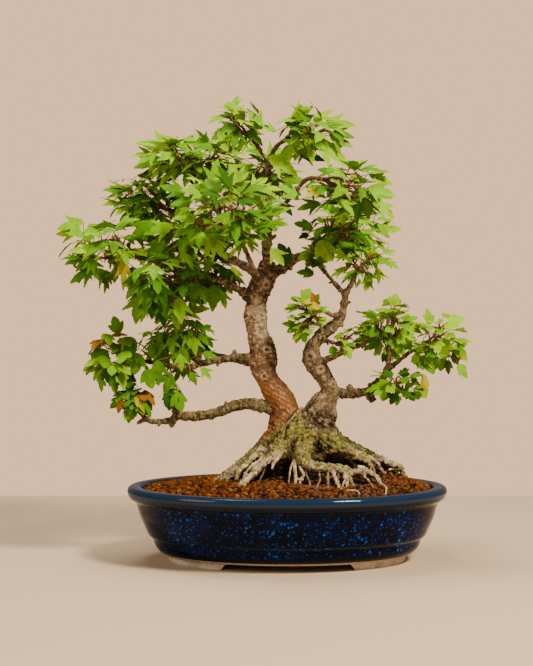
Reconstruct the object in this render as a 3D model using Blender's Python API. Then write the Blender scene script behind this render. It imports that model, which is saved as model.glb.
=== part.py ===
"""A bonsai trident maple with two trunks, standing in an oval glazed pot.

Lengths are metres and +Z is up. The plant is laid out around the pot's own axis on the table,
with -Y as its front. The last step moves it all, so that the origin lies on the table under
the middle of the whole plant.
"""
import math
import random

import bmesh
import bpy
from mathutils import Matrix, Vector
from mathutils.bvhtree import BVHTree

MM = 0.001
GAP = 0.3 * MM

# Pot: an oval bowl with a rolled rim, on two unglazed end feet.
POT_HALF_WIDTH = 150 * MM
POT_HALF_DEPTH = 111 * MM
POT_SIDES = 36
FOOT_HEIGHT = 6.0 * MM
FOOT_INSET = 39 * MM
FOOT_WIDTH = 12 * MM
FOOT_GAP_TOP = 56 * MM
FOOT_GAP_BOTTOM = 61 * MM
FOOT_STEPS = 15
# Inset from the rim's widest line and height above the table, from the underside round to the floor.
POT_PROFILE = (
    (38.0, 6.3), (34.6, 6.8), (31.4, 8.6), (28.0, 12.5), (25.0, 17.5), (23.6, 21.5), (21.2, 23.0),
    (16.6, 31.5), (12.2, 42.0), (9.6, 51.0), (7.4, 56.0), (2.8, 58.8), (0.4, 63.0), (0.5, 67.0),
    (3.0, 70.0), (11.0, 70.0), (13.2, 67.5), (16.5, 54.0), (24.0, 36.0), (38.0, 20.0), (58.0, 14.0),
)

# Soil: fills the pot to just under its rim and rises to a flat top under the roots, in mm.
SOIL_EDGE = 67
GROUND = 75
PLATEAU_CENTRE_X = 21
PLATEAU_HALF_WIDTH = 93
PLATEAU_HALF_DEPTH = 68
PLATEAU_SLOPE = 0.7
# Heaps of soil against the roots: middle x and y, half width, half depth and height in mm.
HEAPS = ((90, 10, 22, 20, 11), (50, -33, 20, 12, 12), (-4, -30, 20, 13, 6), (-52, 6, 18, 16, 3))
# Rings of the soil's top, from its edge inwards, as shares of its width.
SOIL_RINGS = (0.94, 0.86, 0.77, 0.67, 0.56, 0.44, 0.32, 0.2)

# Main trunk: centre line and half thickness, both in mm, from the root flare to the fork.
TRUNK_ROUTE = (
    (4, 4, 96, 24), (-4, 5, 120, 15), (-2, 5, 140, 13), (-6, 5, 150, 12.8), (-12, 5, 159, 12),
    (-18, 5, 169, 10.2), (-22, 5, 178, 12), (-22, 5, 188, 13), (-24, 5, 201, 12), (-28, 5, 214, 9.6),
    (-29.5, 5, 232, 10.6), (-28, 5, 244, 9), (-26, 5, 254, 11.2), (-21, 5, 266, 10), (-18, 5, 280, 7.6),
)
# Second trunk: it sits 0.3 mm over a flat slanting seat on the flare and runs to the last fork.
SEAT = (33, -1, 142)
SEAT_SLANT = 20
SEAT_RADIUS = 15
# Just above and just below the seat: distance from it and half thickness.
SECOND_NECK = (5.5, 12.4)
SHOULDER_NECK = (-8, 16)
SECOND_ROUTE = (
    (38.8, 0, 153.5, 9.8), (40, 0, 160, 8.2), (38, 0, 167, 7.6), (32, 0, 176, 8.6),
    (24.5, 0, 186, 9.4), (23, 0, 195, 8), (26.5, 0, 204, 5.8), (36, 0, 214, 5.8), (46, 0, 222, 5),
    (52, 0, 233, 3.6), (55, 0, 249, 2.8), (60, -2, 259, 2.4), (63, -4, 269, 2),
)
# The low fused base of both trunks: centre x and y, half width and half depth, height.
FLARE_RINGS = (
    (20, 5, 50, 22, 68), (20, 4, 49, 24, 80), (18, 3, 46, 26, 93), (16, 1, 42, 26, 106),
    (15, 0, 34.5, 21, 121), (15, 1, 24, 15, 133), (15, 1, 12, 9, 142),
)
SHOULDER_ROUTE = ((22, 2, 104, 22), (27.5, 0, 124, 18))
# Roots that stand out of the base: centre line and half thickness in mm.
ROOTS = (
    ((-12, 0, 112, 12), (-33, -5, 93, 8), (-56, -8, 79, 5.2), (-67, -9, 70, 4)),
    ((-28, -14, 99.9, 3.4), (-39.7, -25, 90.8, 2.3), (-47, -31, 73, 1.6)),
    ((-2, -14, 107, 6), (-22.5, -33, 93.8, 3.9), (-36.4, -46, 81.1, 2.9), (-47, -53, 69, 1.7)),
    ((6, -16, 108, 9), (13.6, -36, 98.6, 6.8), (26.5, -47, 91, 5.2), (45.9, -50, 90.3, 4.8),
     (59, -50, 87, 4.2), (72.1, -48, 87.4, 3.5), (82.3, -45, 80.2, 2.2), (85, -45, 70, 1.6)),
    ((39.7, -51, 90, 2.2), (44.6, -62, 78.6, 1.5), (48.7, -72, 66, 1.2)),
    ((51.9, -51, 87.3, 3.2), (53.9, -60, 71, 1.9)),
    ((66.9, -50, 86.2, 2), (77.6, -62, 71, 1.1)),
    ((24, -8, 118, 12), (50.4, -24, 106, 6.8), (68.7, -28, 98.5, 4.5), (78, -27, 86, 2.8), (80, -27, 70, 2)),
    ((32, 0, 122, 13), (56, -5, 106.5, 7), (79, -1, 97.5, 4.6), (98.5, 6, 88.6, 3.2), (107, 7, 85.5, 2.6),
     (110.5, 6, 68, 2)),
    ((51.9, -13, 105.6, 4.6), (73.6, -18, 98.4, 3), (90, -16, 76, 2)),
    ((66, 2, 103, 5), (90, 16, 88, 2.8), (98, 19, 72, 2)),
    ((36, 14, 108, 10), (72, 30, 90, 4.6), (86, 36, 84, 3.2), (94, 40, 70, 2)),
    ((24, 18, 108, 9), (34, 44, 90, 4.6), (43, 57, 69, 2)),
    ((8, 18, 108, 9), (-10, 42, 90, 4.8), (-22, 56, 69, 2)),
    ((-8, 12, 108, 10), (-40, 26, 90, 5), (-58, 35, 69, 2.2)),
    ((0, 2, 106, 10), (-42, 12, 88, 5), (-66, 12, 70, 2.4)),
)

# Boughs: parent limb, points of the centre line in mm, half thickness at each end in mm.
BOUGHS = {
    "leader": ("trunk", ((-18, 5, 280.3), (-19, 5, 296), (-17.5, 5, 318), (-18, 5, 343), (-17, 5, 368),
                         (-14, 5, 381)), 5.2, 2.0),
    "leader_left": ("leader", ((-17.5, 5, 363), (-20, 6, 374), (-27, 6, 387)), 2.2, 1.7),
    "bough_right_up": ("leader", ((-17, 5, 323), (-8, 0, 327), (2, -10, 338), (14, -22, 352)), 3.0, 1.9),
    "bough_crown_right": ("trunk", ((-19, 5, 270), (-4, 9, 274), (9, 13, 284), (24, 18, 290)), 5.0, 3.0),
    "bough_crown_left": ("trunk", ((-22, 5, 262), (-40, 0, 276), (-57, 0, 285), (-68, 1, 298),
                                   (-74, 3, 315), (-78, 4, 340)), 4.2, 2.0),
    "bough_left_upper": ("bough_crown_left", ((-69, 1, 299), (-84, 10, 311), (-98, 19, 322)), 2.6, 1.9),
    "bough_left_low": ("trunk", ((-27, 5, 248), (-44, -2, 253), (-60, -6, 261), (-90, -8, 268),
                                 (-128, -4, 281)), 3.8, 2.0),
    "bough_left_drop": ("bough_left_low", ((-72, -7, 264), (-82, -17, 264), (-90, -24, 262)), 2.3, 1.8),
    "bough_left_back": ("bough_left_low", ((-48, -3, 255), (-54, 7, 258), (-61, 15, 260)), 2.3, 1.8),
    "bough_front": ("trunk", ((-25, 5, 258), (-30, -14, 270), (-38, -32, 288)), 3.6, 2.1),
    "bough_back_top": ("leader", ((-18, 5, 306), (-22, 24, 320), (-27, 46, 340)), 3.0, 2.0),
    "bough_back_left": ("trunk", ((-29, 5, 238), (-44, 28, 252), (-66, 52, 274)), 4.0, 2.2),
    "bough_back_right": ("trunk", ((-24, 5, 256), (-10, 24, 268), (12, 44, 284), (36, 60, 300)), 3.8, 2.1),
    "bough_mid_left": ("trunk", ((-22, 5, 188), (-44, -2, 190), (-70, -6, 187), (-96, -9, 181),
                                 (-126, -13, 186)), 4.2, 2.2),
    "bough_mid_left_side": ("bough_mid_left", ((-80, -7, 185), (-88, -2, 192), (-94, 2, 198)), 2.9, 2.1),
    "bough_mid_back": ("trunk", ((-22, 5, 181), (-46, 26, 186), (-78, 48, 193)), 3.8, 2.0),
    "bough_low_left": ("trunk", ((-4, 5, 138), (-30, -1, 146), (-44, -3, 146), (-55, -4, 143),
                                 (-67, -6, 138), (-90, -9, 135), (-101, -10, 137), (-105, -10, 143)),
                       6.0, 4.0),
    "bough_low_tip": ("bough_low_left", ((-98, -9, 136), (-112, -10, 131), (-128, -11, 131),
                                         (-135, -12, 137)), 3.2, 2.0),
    "bough_right": ("second_trunk", ((39, 0, 159), (56, 0, 156), (73, -5, 158), (84, -8, 164),
                                     (91, -11, 175), (94, -14, 187)), 5.0, 2.6),
    "bough_right_outer": ("bough_right", ((91.5, -12, 177), (103, -15, 187), (117, -18, 198)), 2.8, 1.9),
    "bough_right_low": ("bough_right", ((79, -6, 161), (85, -16, 161), (90, -21, 163)), 2.6, 1.9),
    "bough_right_back": ("second_trunk", ((26, 0, 183), (44, 20, 190), (68, 38, 200)), 4.0, 2.1),
    "second_left": ("second_trunk", ((55, 0, 248), (46, 5, 258), (36, 10, 270)), 2.6, 1.8),
    "bough_middle": ("second_trunk", ((51, 0, 231), (42, -10, 230), (33, -16, 234)), 2.5, 1.8),
    "bough_small_right": ("second_trunk", ((31, 0, 209), (38, -10, 206), (46, -14, 203)), 2.4, 1.7),
}
TRUNK_SIDES = 12
TRUNK_STEP = 8 * MM
LIMB_SIDES = 6
LIMB_STEP = 13 * MM
LIMB_RELIEF = 0.035
FLARE_SIDES = 14
SHOULDER_STEP = 14 * MM
ROOT_SIDES = 6
ROOT_STEP = 15 * MM
ROOT_RELIEF = 0.05
CUTTER_DEPTH = 60

# Leaf masses: limb they grow from, centre and reach in mm, number of leaves, leaf length in mm.
MASSES = {
    "leaves_far_left": ("bough_left_low", (-169, 0, 292), (50, 46, 40), 14, 37),
    "leaves_left_upper": ("bough_left_upper", (-135, 30, 342), (44, 42, 31), 12, 36),
    "leaves_left_top": ("bough_crown_left", (-92, 0, 378), (54, 46, 27), 14, 36),
    "leaves_front": ("bough_front", (-54, -62, 325), (54, 52, 44), 16, 37),
    "leaves_left_lower": ("bough_left_drop", (-110, -36, 258), (42, 42, 38), 13, 36),
    "leaves_centre_lower": ("bough_left_back", (-74, 24, 262), (36, 36, 26), 9, 32),
    "leaves_top_left": ("leader_left", (-46, 5, 409), (32, 36, 28), 8, 32),
    "leaves_top_right": ("leader", (22, -2, 404), (40, 40, 32), 9, 34),
    "leaves_right_upper": ("bough_right_up", (56, -42, 345), (46, 46, 31), 12, 35),
    "leaves_right": ("bough_crown_right", (52, 28, 313), (38, 38, 30), 11, 32),
    "leaves_right_low": ("second_trunk", (70, -10, 277), (34, 34, 26), 8, 28),
    "leaves_right_inner": ("second_left", (26, 13, 284), (19, 18, 14), 4, 19),
    "leaves_mid_outer": ("bough_mid_left", (-158, -15, 191), (34, 32, 36), 9, 30),
    "leaves_mid_inner": ("bough_mid_left_side", (-102, 6, 203), (36, 30, 36), 10, 28),
    "leaves_mid_back": ("bough_mid_back", (-112, 66, 206), (38, 32, 31), 8, 29),
    "leaves_low_tip": ("bough_low_tip", (-143, -12, 149), (22, 22, 20), 7, 17),
    "leaves_low_cluster": ("bough_low_left", (-107, -10, 154), (15, 15, 14), 4, 13),
    "leaves_middle": ("bough_middle", (19, -21, 227), (24, 24, 27), 8, 20),
    "leaves_small_right": ("bough_small_right", (55, -15, 207), (18, 18, 16), 4, 15),
    "leaves_right_mass": ("bough_right", (92, -4, 221), (32, 34, 32), 11, 24),
    "leaves_right_outer": ("bough_right_outer", (138, -20, 208), (31, 31, 36), 10, 24),
    "leaves_right_skirt": ("bough_right_low", (99, -27, 166), (35, 26, 19), 8, 22),
    "leaves_right_back": ("bough_right_back", (98, 58, 213), (34, 30, 30), 8, 25),
    "leaves_back_left": ("bough_back_left", (-98, 84, 302), (52, 44, 42), 12, 37),
    "leaves_back_top": ("bough_back_top", (-30, 78, 368), (48, 42, 34), 11, 36),
    "leaves_back_right": ("bough_back_right", (70, 86, 318), (42, 40, 38), 10, 34),
}
# Stem and twigs of a mass: half thickness in mm at each end, and where they run in its space.
LEAVES_PER_TWIG = 4
STEM_RADIUS = (2.0, 1.4)
TWIG_RADIUS = (1.4, 1.1)
TWIG_CLEARANCE = 2.2
STEM_SHARES = (0, 0.05, 0.5, 1)
STEM_END_DROP = 0.2
STEM_HOLD = 0.4
FORK_SHARES = (0.5, 0.9)
TWIG_REACH = 0.36
TWIG_SAG = 0.12
TWIG_JITTER = 0.25
TWIG_TRIES = 8
SHORTEST_TWIG = 8
STALK_RADIUS = 0.55
STALK_ROOT_RADIUS = 0.25
LEAF_THICKNESS = 0.035
# Where leaves join a twig, in mm back from its tip.
FIRST_NODE = 1.2
NODE_SPACING = 3.4
PAIR_OFFSET = 0.9
FIRST_NODE_SHARE = 0.2
# Leaves: blade size and stalk length as shares, how they rise, droop, turn and scatter.
BLADE_SIZE = (0.82, 1.12)
STALK_LENGTH = (0.25, 0.65)
STALK_LIFT = 0.15
BLADE_DROP = 0.3
BLADE_FLATTEN = 0.6
BLADE_JITTER = 0.25
FACE_OUTWARD = 0.5
FACE_JITTER = 0.3
# Room for a leaf: random tries, how far out it may reach, its worst angles, its pull outwards.
TRIES = 120
OUTER_REACH = 1.1
LEAST_ALONG_STALK = 0.3
MOST_EDGE_ON = 0.85
OUTWARD_PULL = 0.4
STALK_FACES = 7
CLEARANCE = 1.12
GOLDEN_ANGLE = math.pi * (3 - math.sqrt(5))
# Outline of a leaf of length 1: along and across, from its stalk round by the tip.
LEAF_OUTLINE = ((0.6, 0.49), (0.61, 0.22), (1.0, 0.0), (0.61, -0.22), (0.6, -0.49))
LEAF_DROOP = (0.14, 0.02, 0.16, 0.02, 0.14)
# Leaves turn their faces to a light over the front.
LIGHT = (0, -0.55, 1)


def point(x, y, z):
    """A place given in millimetres."""
    return Vector((x, y, z)) * MM


def new_material(name, colour, roughness, metallic=0.0):
    material = bpy.data.materials.new(name)
    material.use_nodes = True
    shader = material.node_tree.nodes["Principled BSDF"]
    shader.inputs["Base Color"].default_value = (*colour, 1.0)
    shader.inputs["Roughness"].default_value = roughness
    shader.inputs["Metallic"].default_value = metallic
    return material


def new_object(name, verts, faces, material=None, smooth=None):
    """A named object from vertices and faces, shaded smooth below an angle in degrees."""
    mesh = bpy.data.meshes.new(name)
    mesh.from_pydata(verts, [], faces)
    mesh.update()
    return place(name, mesh, material, smooth)


def place(name, mesh, material=None, smooth=None):
    if material:
        mesh.materials.clear()
        mesh.materials.append(material)
    if smooth:
        mesh.shade_smooth()
        mesh.set_sharp_from_angle(angle=math.radians(smooth))
    item = bpy.data.objects.new(name, mesh)
    bpy.context.scene.collection.objects.link(item)
    return item


def rings_to_solid(rings):
    """Vertices and faces of a closed solid through rings that turn left as they climb."""
    sides = len(rings[0])
    verts = [corner for ring in rings for corner in ring]
    faces = [tuple(reversed(range(sides)))]
    for low in range(0, sides * (len(rings) - 1), sides):
        for i in range(sides):
            j = (i + 1) % sides
            faces.append((low + i, low + j, low + sides + j, low + sides + i))
    top = len(verts) - sides
    faces.append(tuple(range(top, top + sides)))
    return verts, faces


def smooth_route(stations, step):
    """Samples about a step apart on a Catmull-Rom curve through stations of any dimension."""
    samples = []
    last = len(stations) - 1
    for i in range(last):
        before = stations[max(i - 1, 0)]
        start, end = stations[i], stations[i + 1]
        after = stations[min(i + 2, last)]
        span = math.dist(start[:3], end[:3])
        count = max(1, round(span / step))
        for k in range(count):
            t = k / count
            samples.append(tuple(
                0.5 * (2 * b + (c - a) * t + (2 * a - 5 * b + 4 * c - d) * t ** 2
                       + (3 * b - a - 3 * c + d) * t ** 3)
                for a, b, c, d in zip(before, start, end, after)))
    samples.append(tuple(stations[last]))
    return samples


def tube(stations, sides, step, grow=0.0, relief=0.0):
    """A closed limb round stations (x, y, z, half thickness), with lumps as a share of its radius."""
    samples = smooth_route(stations, step)
    centres = [Vector(s[:3]) for s in samples]
    rings = []
    side = None
    for i, centre in enumerate(centres):
        tangent = (centres[min(i + 1, len(centres) - 1)] - centres[max(i - 1, 0)]).normalized()
        side = tangent.orthogonal() if side is None else side - tangent * side.dot(tangent)
        side.normalize()
        up = tangent.cross(side)
        ring = []
        for k in range(sides):
            angle = 2 * math.pi * k / sides
            lump = math.sin(3 * angle + 0.9 * i) + 0.7 * math.sin(2 * angle - 1.7 * i)
            radius = samples[i][3] * (1 + relief * lump) + grow
            ring.append(centre + radius * (math.cos(angle) * side + math.sin(angle) * up))
        rings.append(ring)
    return rings_to_solid(rings)


def scaled(stations):
    return [tuple(value * MM for value in station) for station in stations]


def tapered(points, start_radius, end_radius):
    """Stations in metres along points in mm, with an even taper."""
    last = len(points) - 1
    return [(x * MM, y * MM, z * MM, (start_radius + (end_radius - start_radius) * i / last) * MM)
            for i, (x, y, z) in enumerate(points)]


def best_ear(corners, normal, form):
    """The corner of a polygon that cuts off as the fullest triangle, with no edge made twice."""
    best, best_shape = None, 0.0
    for i, corner in enumerate(corners):
        before, after = corners[i - 1], corners[(i + 1) % len(corners)]
        sides = [corner.co - before.co, after.co - corner.co, before.co - after.co]
        area = sides[0].cross(sides[1]).dot(normal)
        shape = area / max(side.length_squared for side in sides)
        if shape <= best_shape or form.edges.get((before, after)):
            continue
        walls = list(zip((before, corner, after), sides))
        others = [v for v in corners if v not in (before, corner, after)]
        if any(all(side.cross(v.co - wall.co).dot(normal) >= 0 for wall, side in walls) for v in others):
            continue
        best, best_shape = i, shape
    return best


def split_into_triangles(form):
    """Cuts ears off each face until only triangles are left."""
    for face in [f for f in form.faces if len(f.verts) > 3]:
        corners, normal = list(face.verts), face.normal.copy()
        form.faces.remove(face)
        while len(corners) > 3:
            i = best_ear(corners, normal, form)
            if i is None:
                break
            form.faces.new((corners[i - 1], corners[i], corners[(i + 1) % len(corners)]))
            corners.pop(i)
        form.faces.new(corners)


def largest_shell(mesh):
    """Keeps the biggest closed shell, which drops loose scraps and fills sealed hollows."""
    form = bmesh.new()
    form.from_mesh(mesh)
    shells = []
    seen = set()
    for seed in form.faces:
        if seed in seen:
            continue
        seen.add(seed)
        shell = [seed]
        for face in shell:
            for edge in face.edges:
                for other in edge.link_faces:
                    if other not in seen:
                        seen.add(other)
                        shell.append(other)
        shells.append(shell)
    shells.sort(key=len, reverse=True)
    for shell in shells[1:]:
        bmesh.ops.delete(form, geom=shell, context="FACES")
    split_into_triangles(form)
    form.to_mesh(mesh)
    form.free()
    return mesh


def triangles(solid):
    """The same solid with every face cut into a fan of triangles."""
    verts, faces = solid
    return verts, [(face[0], face[i], face[i + 1]) for face in faces for i in range(1, len(face) - 1)]


def combine(base, others, operation="UNION", solver="EXACT"):
    """The mesh of a base solid joined with, or cut by, a collection of other solids."""
    group = bpy.data.collections.new("operands")
    main = new_object("main", *triangles(base))
    for i, solid in enumerate(others):
        item = new_object(f"operand_{i}", *triangles(solid))
        bpy.context.scene.collection.objects.unlink(item)
        group.objects.link(item)
    boolean = main.modifiers.new("combine", "BOOLEAN")
    boolean.operation = operation
    boolean.solver = solver
    boolean.operand_type = "COLLECTION"
    boolean.collection = group
    bpy.context.view_layer.update()
    evaluated = main.evaluated_get(bpy.context.evaluated_depsgraph_get())
    mesh = bpy.data.meshes.new_from_object(evaluated)
    for item in [*group.objects, main]:
        used = item.data
        bpy.data.objects.remove(item)
        bpy.data.meshes.remove(used)
    bpy.data.collections.remove(group)
    return largest_shell(mesh)


def as_solid(mesh):
    return [v.co.copy() for v in mesh.vertices], [tuple(p.vertices) for p in mesh.polygons]


def oval(inset, height, count=POT_SIDES):
    """A ring of the pot's oval, moved inwards."""
    ring = []
    for i in range(count):
        angle = 2 * math.pi * i / count
        ring.append(Vector(((POT_HALF_WIDTH - inset) * math.cos(angle),
                            (POT_HALF_DEPTH - inset) * math.sin(angle), height)))
    return ring


def build_pot():
    glaze = new_material("blue_glaze", (0.012, 0.022, 0.075), 0.12)
    rings = [oval(inset * MM, height * MM) for inset, height in POT_PROFILE]
    new_object("pot", *rings_to_solid(rings), glaze, smooth=40)


def build_foot(name, side):
    """A C-shaped foot round one end of the pot, cut off slanting at the front and back."""
    clay = new_material(f"{name}_clay", (0.35, 0.3, 0.24), 0.8)
    section = (
        (0, 0, FOOT_GAP_BOTTOM), (0, FOOT_HEIGHT, FOOT_GAP_TOP),
        (FOOT_WIDTH, FOOT_HEIGHT, FOOT_GAP_TOP), (FOOT_WIDTH, 0, FOOT_GAP_BOTTOM),
    )
    rings = []
    for i in range(FOOT_STEPS + 1):
        share = 2 * i / FOOT_STEPS - 1
        ring = []
        for depth, height, gap in section:
            half_width = POT_HALF_WIDTH - FOOT_INSET - depth
            half_depth = POT_HALF_DEPTH - FOOT_INSET - depth
            angle = share * math.acos(gap / half_width)
            ring.append(Vector((side * half_width * math.cos(angle), half_depth * math.sin(angle), height)))
        rings.append(ring if side < 0 else ring[::-1])
    new_object(name, *rings_to_solid(rings), clay, smooth=40)


def soil_edge():
    """How far inside the rim's widest line the soil meets the bowl, in mm."""
    (inset_low, low), (inset_high, high) = POT_PROFILE[-4], POT_PROFILE[-5]
    share = (SOIL_EDGE - low) / (high - low)
    return inset_low + share * (inset_high - inset_low) + GAP / MM


def soil_height(x, y):
    """How high the soil lies at a place, all in mm."""
    across = math.hypot((x - PLATEAU_CENTRE_X) / PLATEAU_HALF_WIDTH, y / PLATEAU_HALF_DEPTH)
    inset = soil_edge() * MM
    to_edge = 1 - math.hypot(x * MM / (POT_HALF_WIDTH - inset), y * MM / (POT_HALF_DEPTH - inset))
    share = max(0.0, to_edge) / (max(0.0, to_edge) + max(1e-6, across - 1) * PLATEAU_SLOPE)
    top = SOIL_EDGE + (GROUND - SOIL_EDGE) * share
    for middle_x, middle_y, wide, deep, high in HEAPS:
        away = ((x - middle_x) / wide) ** 2 + ((y - middle_y) / deep) ** 2
        top += high * share * math.exp(-2 * away)
    return top


def soil_top(lift):
    """Rings over the soil from its edge inwards, so many mm above it."""
    edge = oval(soil_edge() * MM, (SOIL_EDGE + lift) * MM)
    rings = [edge]
    for share in SOIL_RINGS:
        rings.append([point(share * x / MM, share * y / MM, soil_height(share * x / MM, share * y / MM) + lift)
                      for x, y, _ in edge])
    return rings


def build_soil():
    """Granular soil as one solid, 0.3 mm inside the bowl."""
    grit = new_material("soil_grit", (0.36, 0.13, 0.04), 0.95)
    lower = [oval(inset * MM + GAP, height * MM + GAP) for inset, height in POT_PROFILE[:-5:-1]]
    new_object("soil", *triangles(rings_to_solid(lower + soil_top(0))), grit, smooth=40)


def flare():
    """The low body that both trunks and all roots share."""
    rings = []
    for x, y, half_width, half_depth, height in FLARE_RINGS:
        rings.append([point(x + half_width * math.cos(a), y + half_depth * math.sin(a), height)
                      for a in (2 * math.pi * i / FLARE_SIDES for i in range(FLARE_SIDES))])
    return rings_to_solid(rings)


def under_soil():
    """All that lies under the soil's top and 0.3 mm over it, to cut the roots off along it."""
    foot = oval(soil_edge() * MM, (SOIL_EDGE - CUTTER_DEPTH) * MM)
    return rings_to_solid([foot] + soil_top(GAP / MM))


def seat_station(ahead, radius):
    """A station on the line through the seat, so many mm above or below it."""
    slant = math.radians(SEAT_SLANT)
    return (SEAT[0] + ahead * math.sin(slant), SEAT[1], SEAT[2] + ahead * math.cos(slant), radius)


def trunk_stations(name):
    if name == "trunk":
        return scaled(TRUNK_ROUTE)
    foot = (seat_station(GAP / MM, SEAT_RADIUS), seat_station(*SECOND_NECK))
    return scaled(foot + SECOND_ROUTE)


def build_trunk(bark):
    shoulder = SHOULDER_ROUTE + (seat_station(*SHOULDER_NECK), seat_station(0, SEAT_RADIUS))
    parts = [limb_solid("trunk"), tube(scaled(shoulder), TRUNK_SIDES, SHOULDER_STEP)]
    parts += [tube(scaled(route), ROOT_SIDES, ROOT_STEP, relief=ROOT_RELIEF) for route in ROOTS]
    whole = as_solid(combine(flare(), parts))
    mesh = combine(whole, [under_soil()], "DIFFERENCE")
    place("trunk", mesh, bark, smooth=50)


def build_second_trunk(bark):
    new_object("second_trunk", *limb_solid("second_trunk"), bark, smooth=50)


def limb_stations(name):
    if name not in BOUGHS:
        return trunk_stations(name)
    parent, points, thick, thin = BOUGHS[name]
    return tapered(points, thick, thin)


def limb_solid(name, grow=0.0):
    sides, step = (LIMB_SIDES, LIMB_STEP) if name in BOUGHS else (TRUNK_SIDES, TRUNK_STEP)
    return tube(limb_stations(name), sides, step, grow, relief=LIMB_RELIEF)


def build_boughs(bark):
    """Each bough is coped round its parent, 0.3 mm clear of it."""
    for name, (parent, points, thick, thin) in BOUGHS.items():
        mesh = combine(limb_solid(name), [limb_solid(parent, GAP)], "DIFFERENCE")
        place(name, mesh, bark, smooth=50)


def limb_tip(name):
    """The middle and the heading of a limb's end face."""
    samples = smooth_route(limb_stations(name), LIMB_STEP)
    end = Vector(samples[-1][:3])
    return end, (end - Vector(samples[-2][:3])).normalized()


def spread(k, count, turn):
    """Direction k of count directions spread evenly all round."""
    z = 1 - 2 * (k + 0.5) / count
    ring = math.sqrt(1 - z * z)
    angle = k * GOLDEN_ANGLE + turn
    return Vector((ring * math.cos(angle), ring * math.sin(angle), z))


def jitter(rng, size):
    return Vector([rng.uniform(-size, size) for _ in range(3)])


class Twig:
    """A three-sided twig that curves from its start past a bend to its end."""

    def __init__(self, start, bend, end):
        self.start = start
        self.bend = bend
        self.end = end
        self.length = (end - start).length
        self.leaves = 0

    def at(self, share):
        rest = 1 - share
        return self.start * rest ** 2 + self.bend * 2 * share * rest + self.end * share ** 2

    def solid(self, thick, thin, shares=(0, 0.5, 1)):
        stations = [(*self.at(share), (thick + (thin - thick) * share) * MM) for share in shares]
        return tube(stations, 3, 1.0)

    def next_node(self):
        """Where the next leaf joins: opposite pairs, counted back from the tip."""
        back = (FIRST_NODE + NODE_SPACING * (self.leaves // 2) + PAIR_OFFSET * (self.leaves % 2)) * MM
        return self.at(max(FIRST_NODE_SHARE, 1 - back / self.length))


def leaf(root, base, along, face_up, length, swell=1.0):
    """A stalk from its root to the blade's base, and a blade with three lobes, as one closed solid."""
    stalk = (base - root).normalized()
    heading = (stalk + along).normalized()
    across = face_up.cross(along).normalized()
    normal = along.cross(across).normalized()
    verts = []
    for centre, direction, size in ((root, stalk, STALK_ROOT_RADIUS), (base, heading, STALK_RADIUS)):
        left = (across - direction * across.dot(direction)).normalized()
        under = left.cross(direction)
        radius = size * MM * swell
        verts += [centre + radius * (math.cos(a) * under + math.sin(a) * left)
                  for a in (0.0, 2 * math.pi / 3, -2 * math.pi / 3)]
    middle = base + along * 0.48 * length
    size = length * swell
    verts.append(middle + normal * size * LEAF_THICKNESS / 2)
    verts.append(middle - normal * size * LEAF_THICKNESS / 2)
    for (ahead, aside), droop in zip(LEAF_OUTLINE, LEAF_DROOP):
        verts.append(middle + size * ((ahead - 0.48) * along + aside * across - droop * normal))
    top, low = 6, 7
    rim = (4, 8, 9, 10, 11, 12, 5)
    faces = [(2, 1, 0), (0, 1, 4, 3), (1, 2, 5, 4), (2, 0, 3, 5), (top, 4, 5), (low, 3, 4), (low, 5, 3)]
    for i, j in zip(rim, rim[1:]):
        faces.append((top, j, i))
        faces.append((low, i, j))
    return verts, faces


def box_of(verts):
    return [(min(v[i] for v in verts), max(v[i] for v in verts)) for i in range(3)]


class Space:
    """What already fills the space round the plant."""

    def __init__(self):
        self.taken = []

    def add(self, owner, solid):
        self.taken.append((owner, box_of(solid[0]), BVHTree.FromPolygons(*solid)))

    def blocked(self, solid, skip=(), only=None):
        """Whether a solid meets what is there, apart from owners to skip, or from all but some."""
        box = box_of(solid[0])
        tree = None
        for owner, other_box, other in self.taken:
            if owner in skip or (only and owner not in only):
                continue
            if any(a[0] > b[1] or a[1] < b[0] for a, b in zip(box, other_box)):
                continue
            tree = tree or BVHTree.FromPolygons(*solid)
            if tree.overlap(other):
                return True
        return False


def reach(place_in, centre, radii):
    """How far out a place lies: 1 on the surface of a mass's space."""
    return math.sqrt(sum(((place_in[i] - centre[i]) / radii[i]) ** 2 for i in range(3)))


def grow_twigs(name, space):
    """The stem and twigs of a mass, which skip a place that a limb or another mass holds."""
    limb, centre, radii, count, length = MASSES[name]
    rng = random.Random(name)
    centre, radii = point(*centre), point(*radii)
    tip, heading = limb_tip(limb)
    start = tip + heading * GAP
    heart = centre - Vector((0, 0, STEM_END_DROP * radii.z))
    stem = Twig(start, start + heading * STEM_HOLD * (heart - start).length, heart)
    twigs = [stem]
    total = max(2, round(count / LEAVES_PER_TWIG))
    turn = rng.uniform(0, 2 * math.pi)
    for k in range(total):
        fork = stem.at(FORK_SHARES[0] + (FORK_SHARES[1] - FORK_SHARES[0]) * k / total)
        for _ in range(TWIG_TRIES):
            aim = spread(k, total, turn) + jitter(rng, TWIG_JITTER)
            end = centre + Vector([aim[i] * radii[i] for i in range(3)]) * TWIG_REACH
            span = (end - fork).length
            twig = Twig(fork, (fork + end) / 2 - Vector((0, 0, TWIG_SAG * span)), end)
            wide = twig.solid(TWIG_CLEARANCE, TWIG_CLEARANCE)
            if span > SHORTEST_TWIG * MM and not space.blocked(wide, {name}):
                twigs.append(twig)
                break
    return twigs


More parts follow.
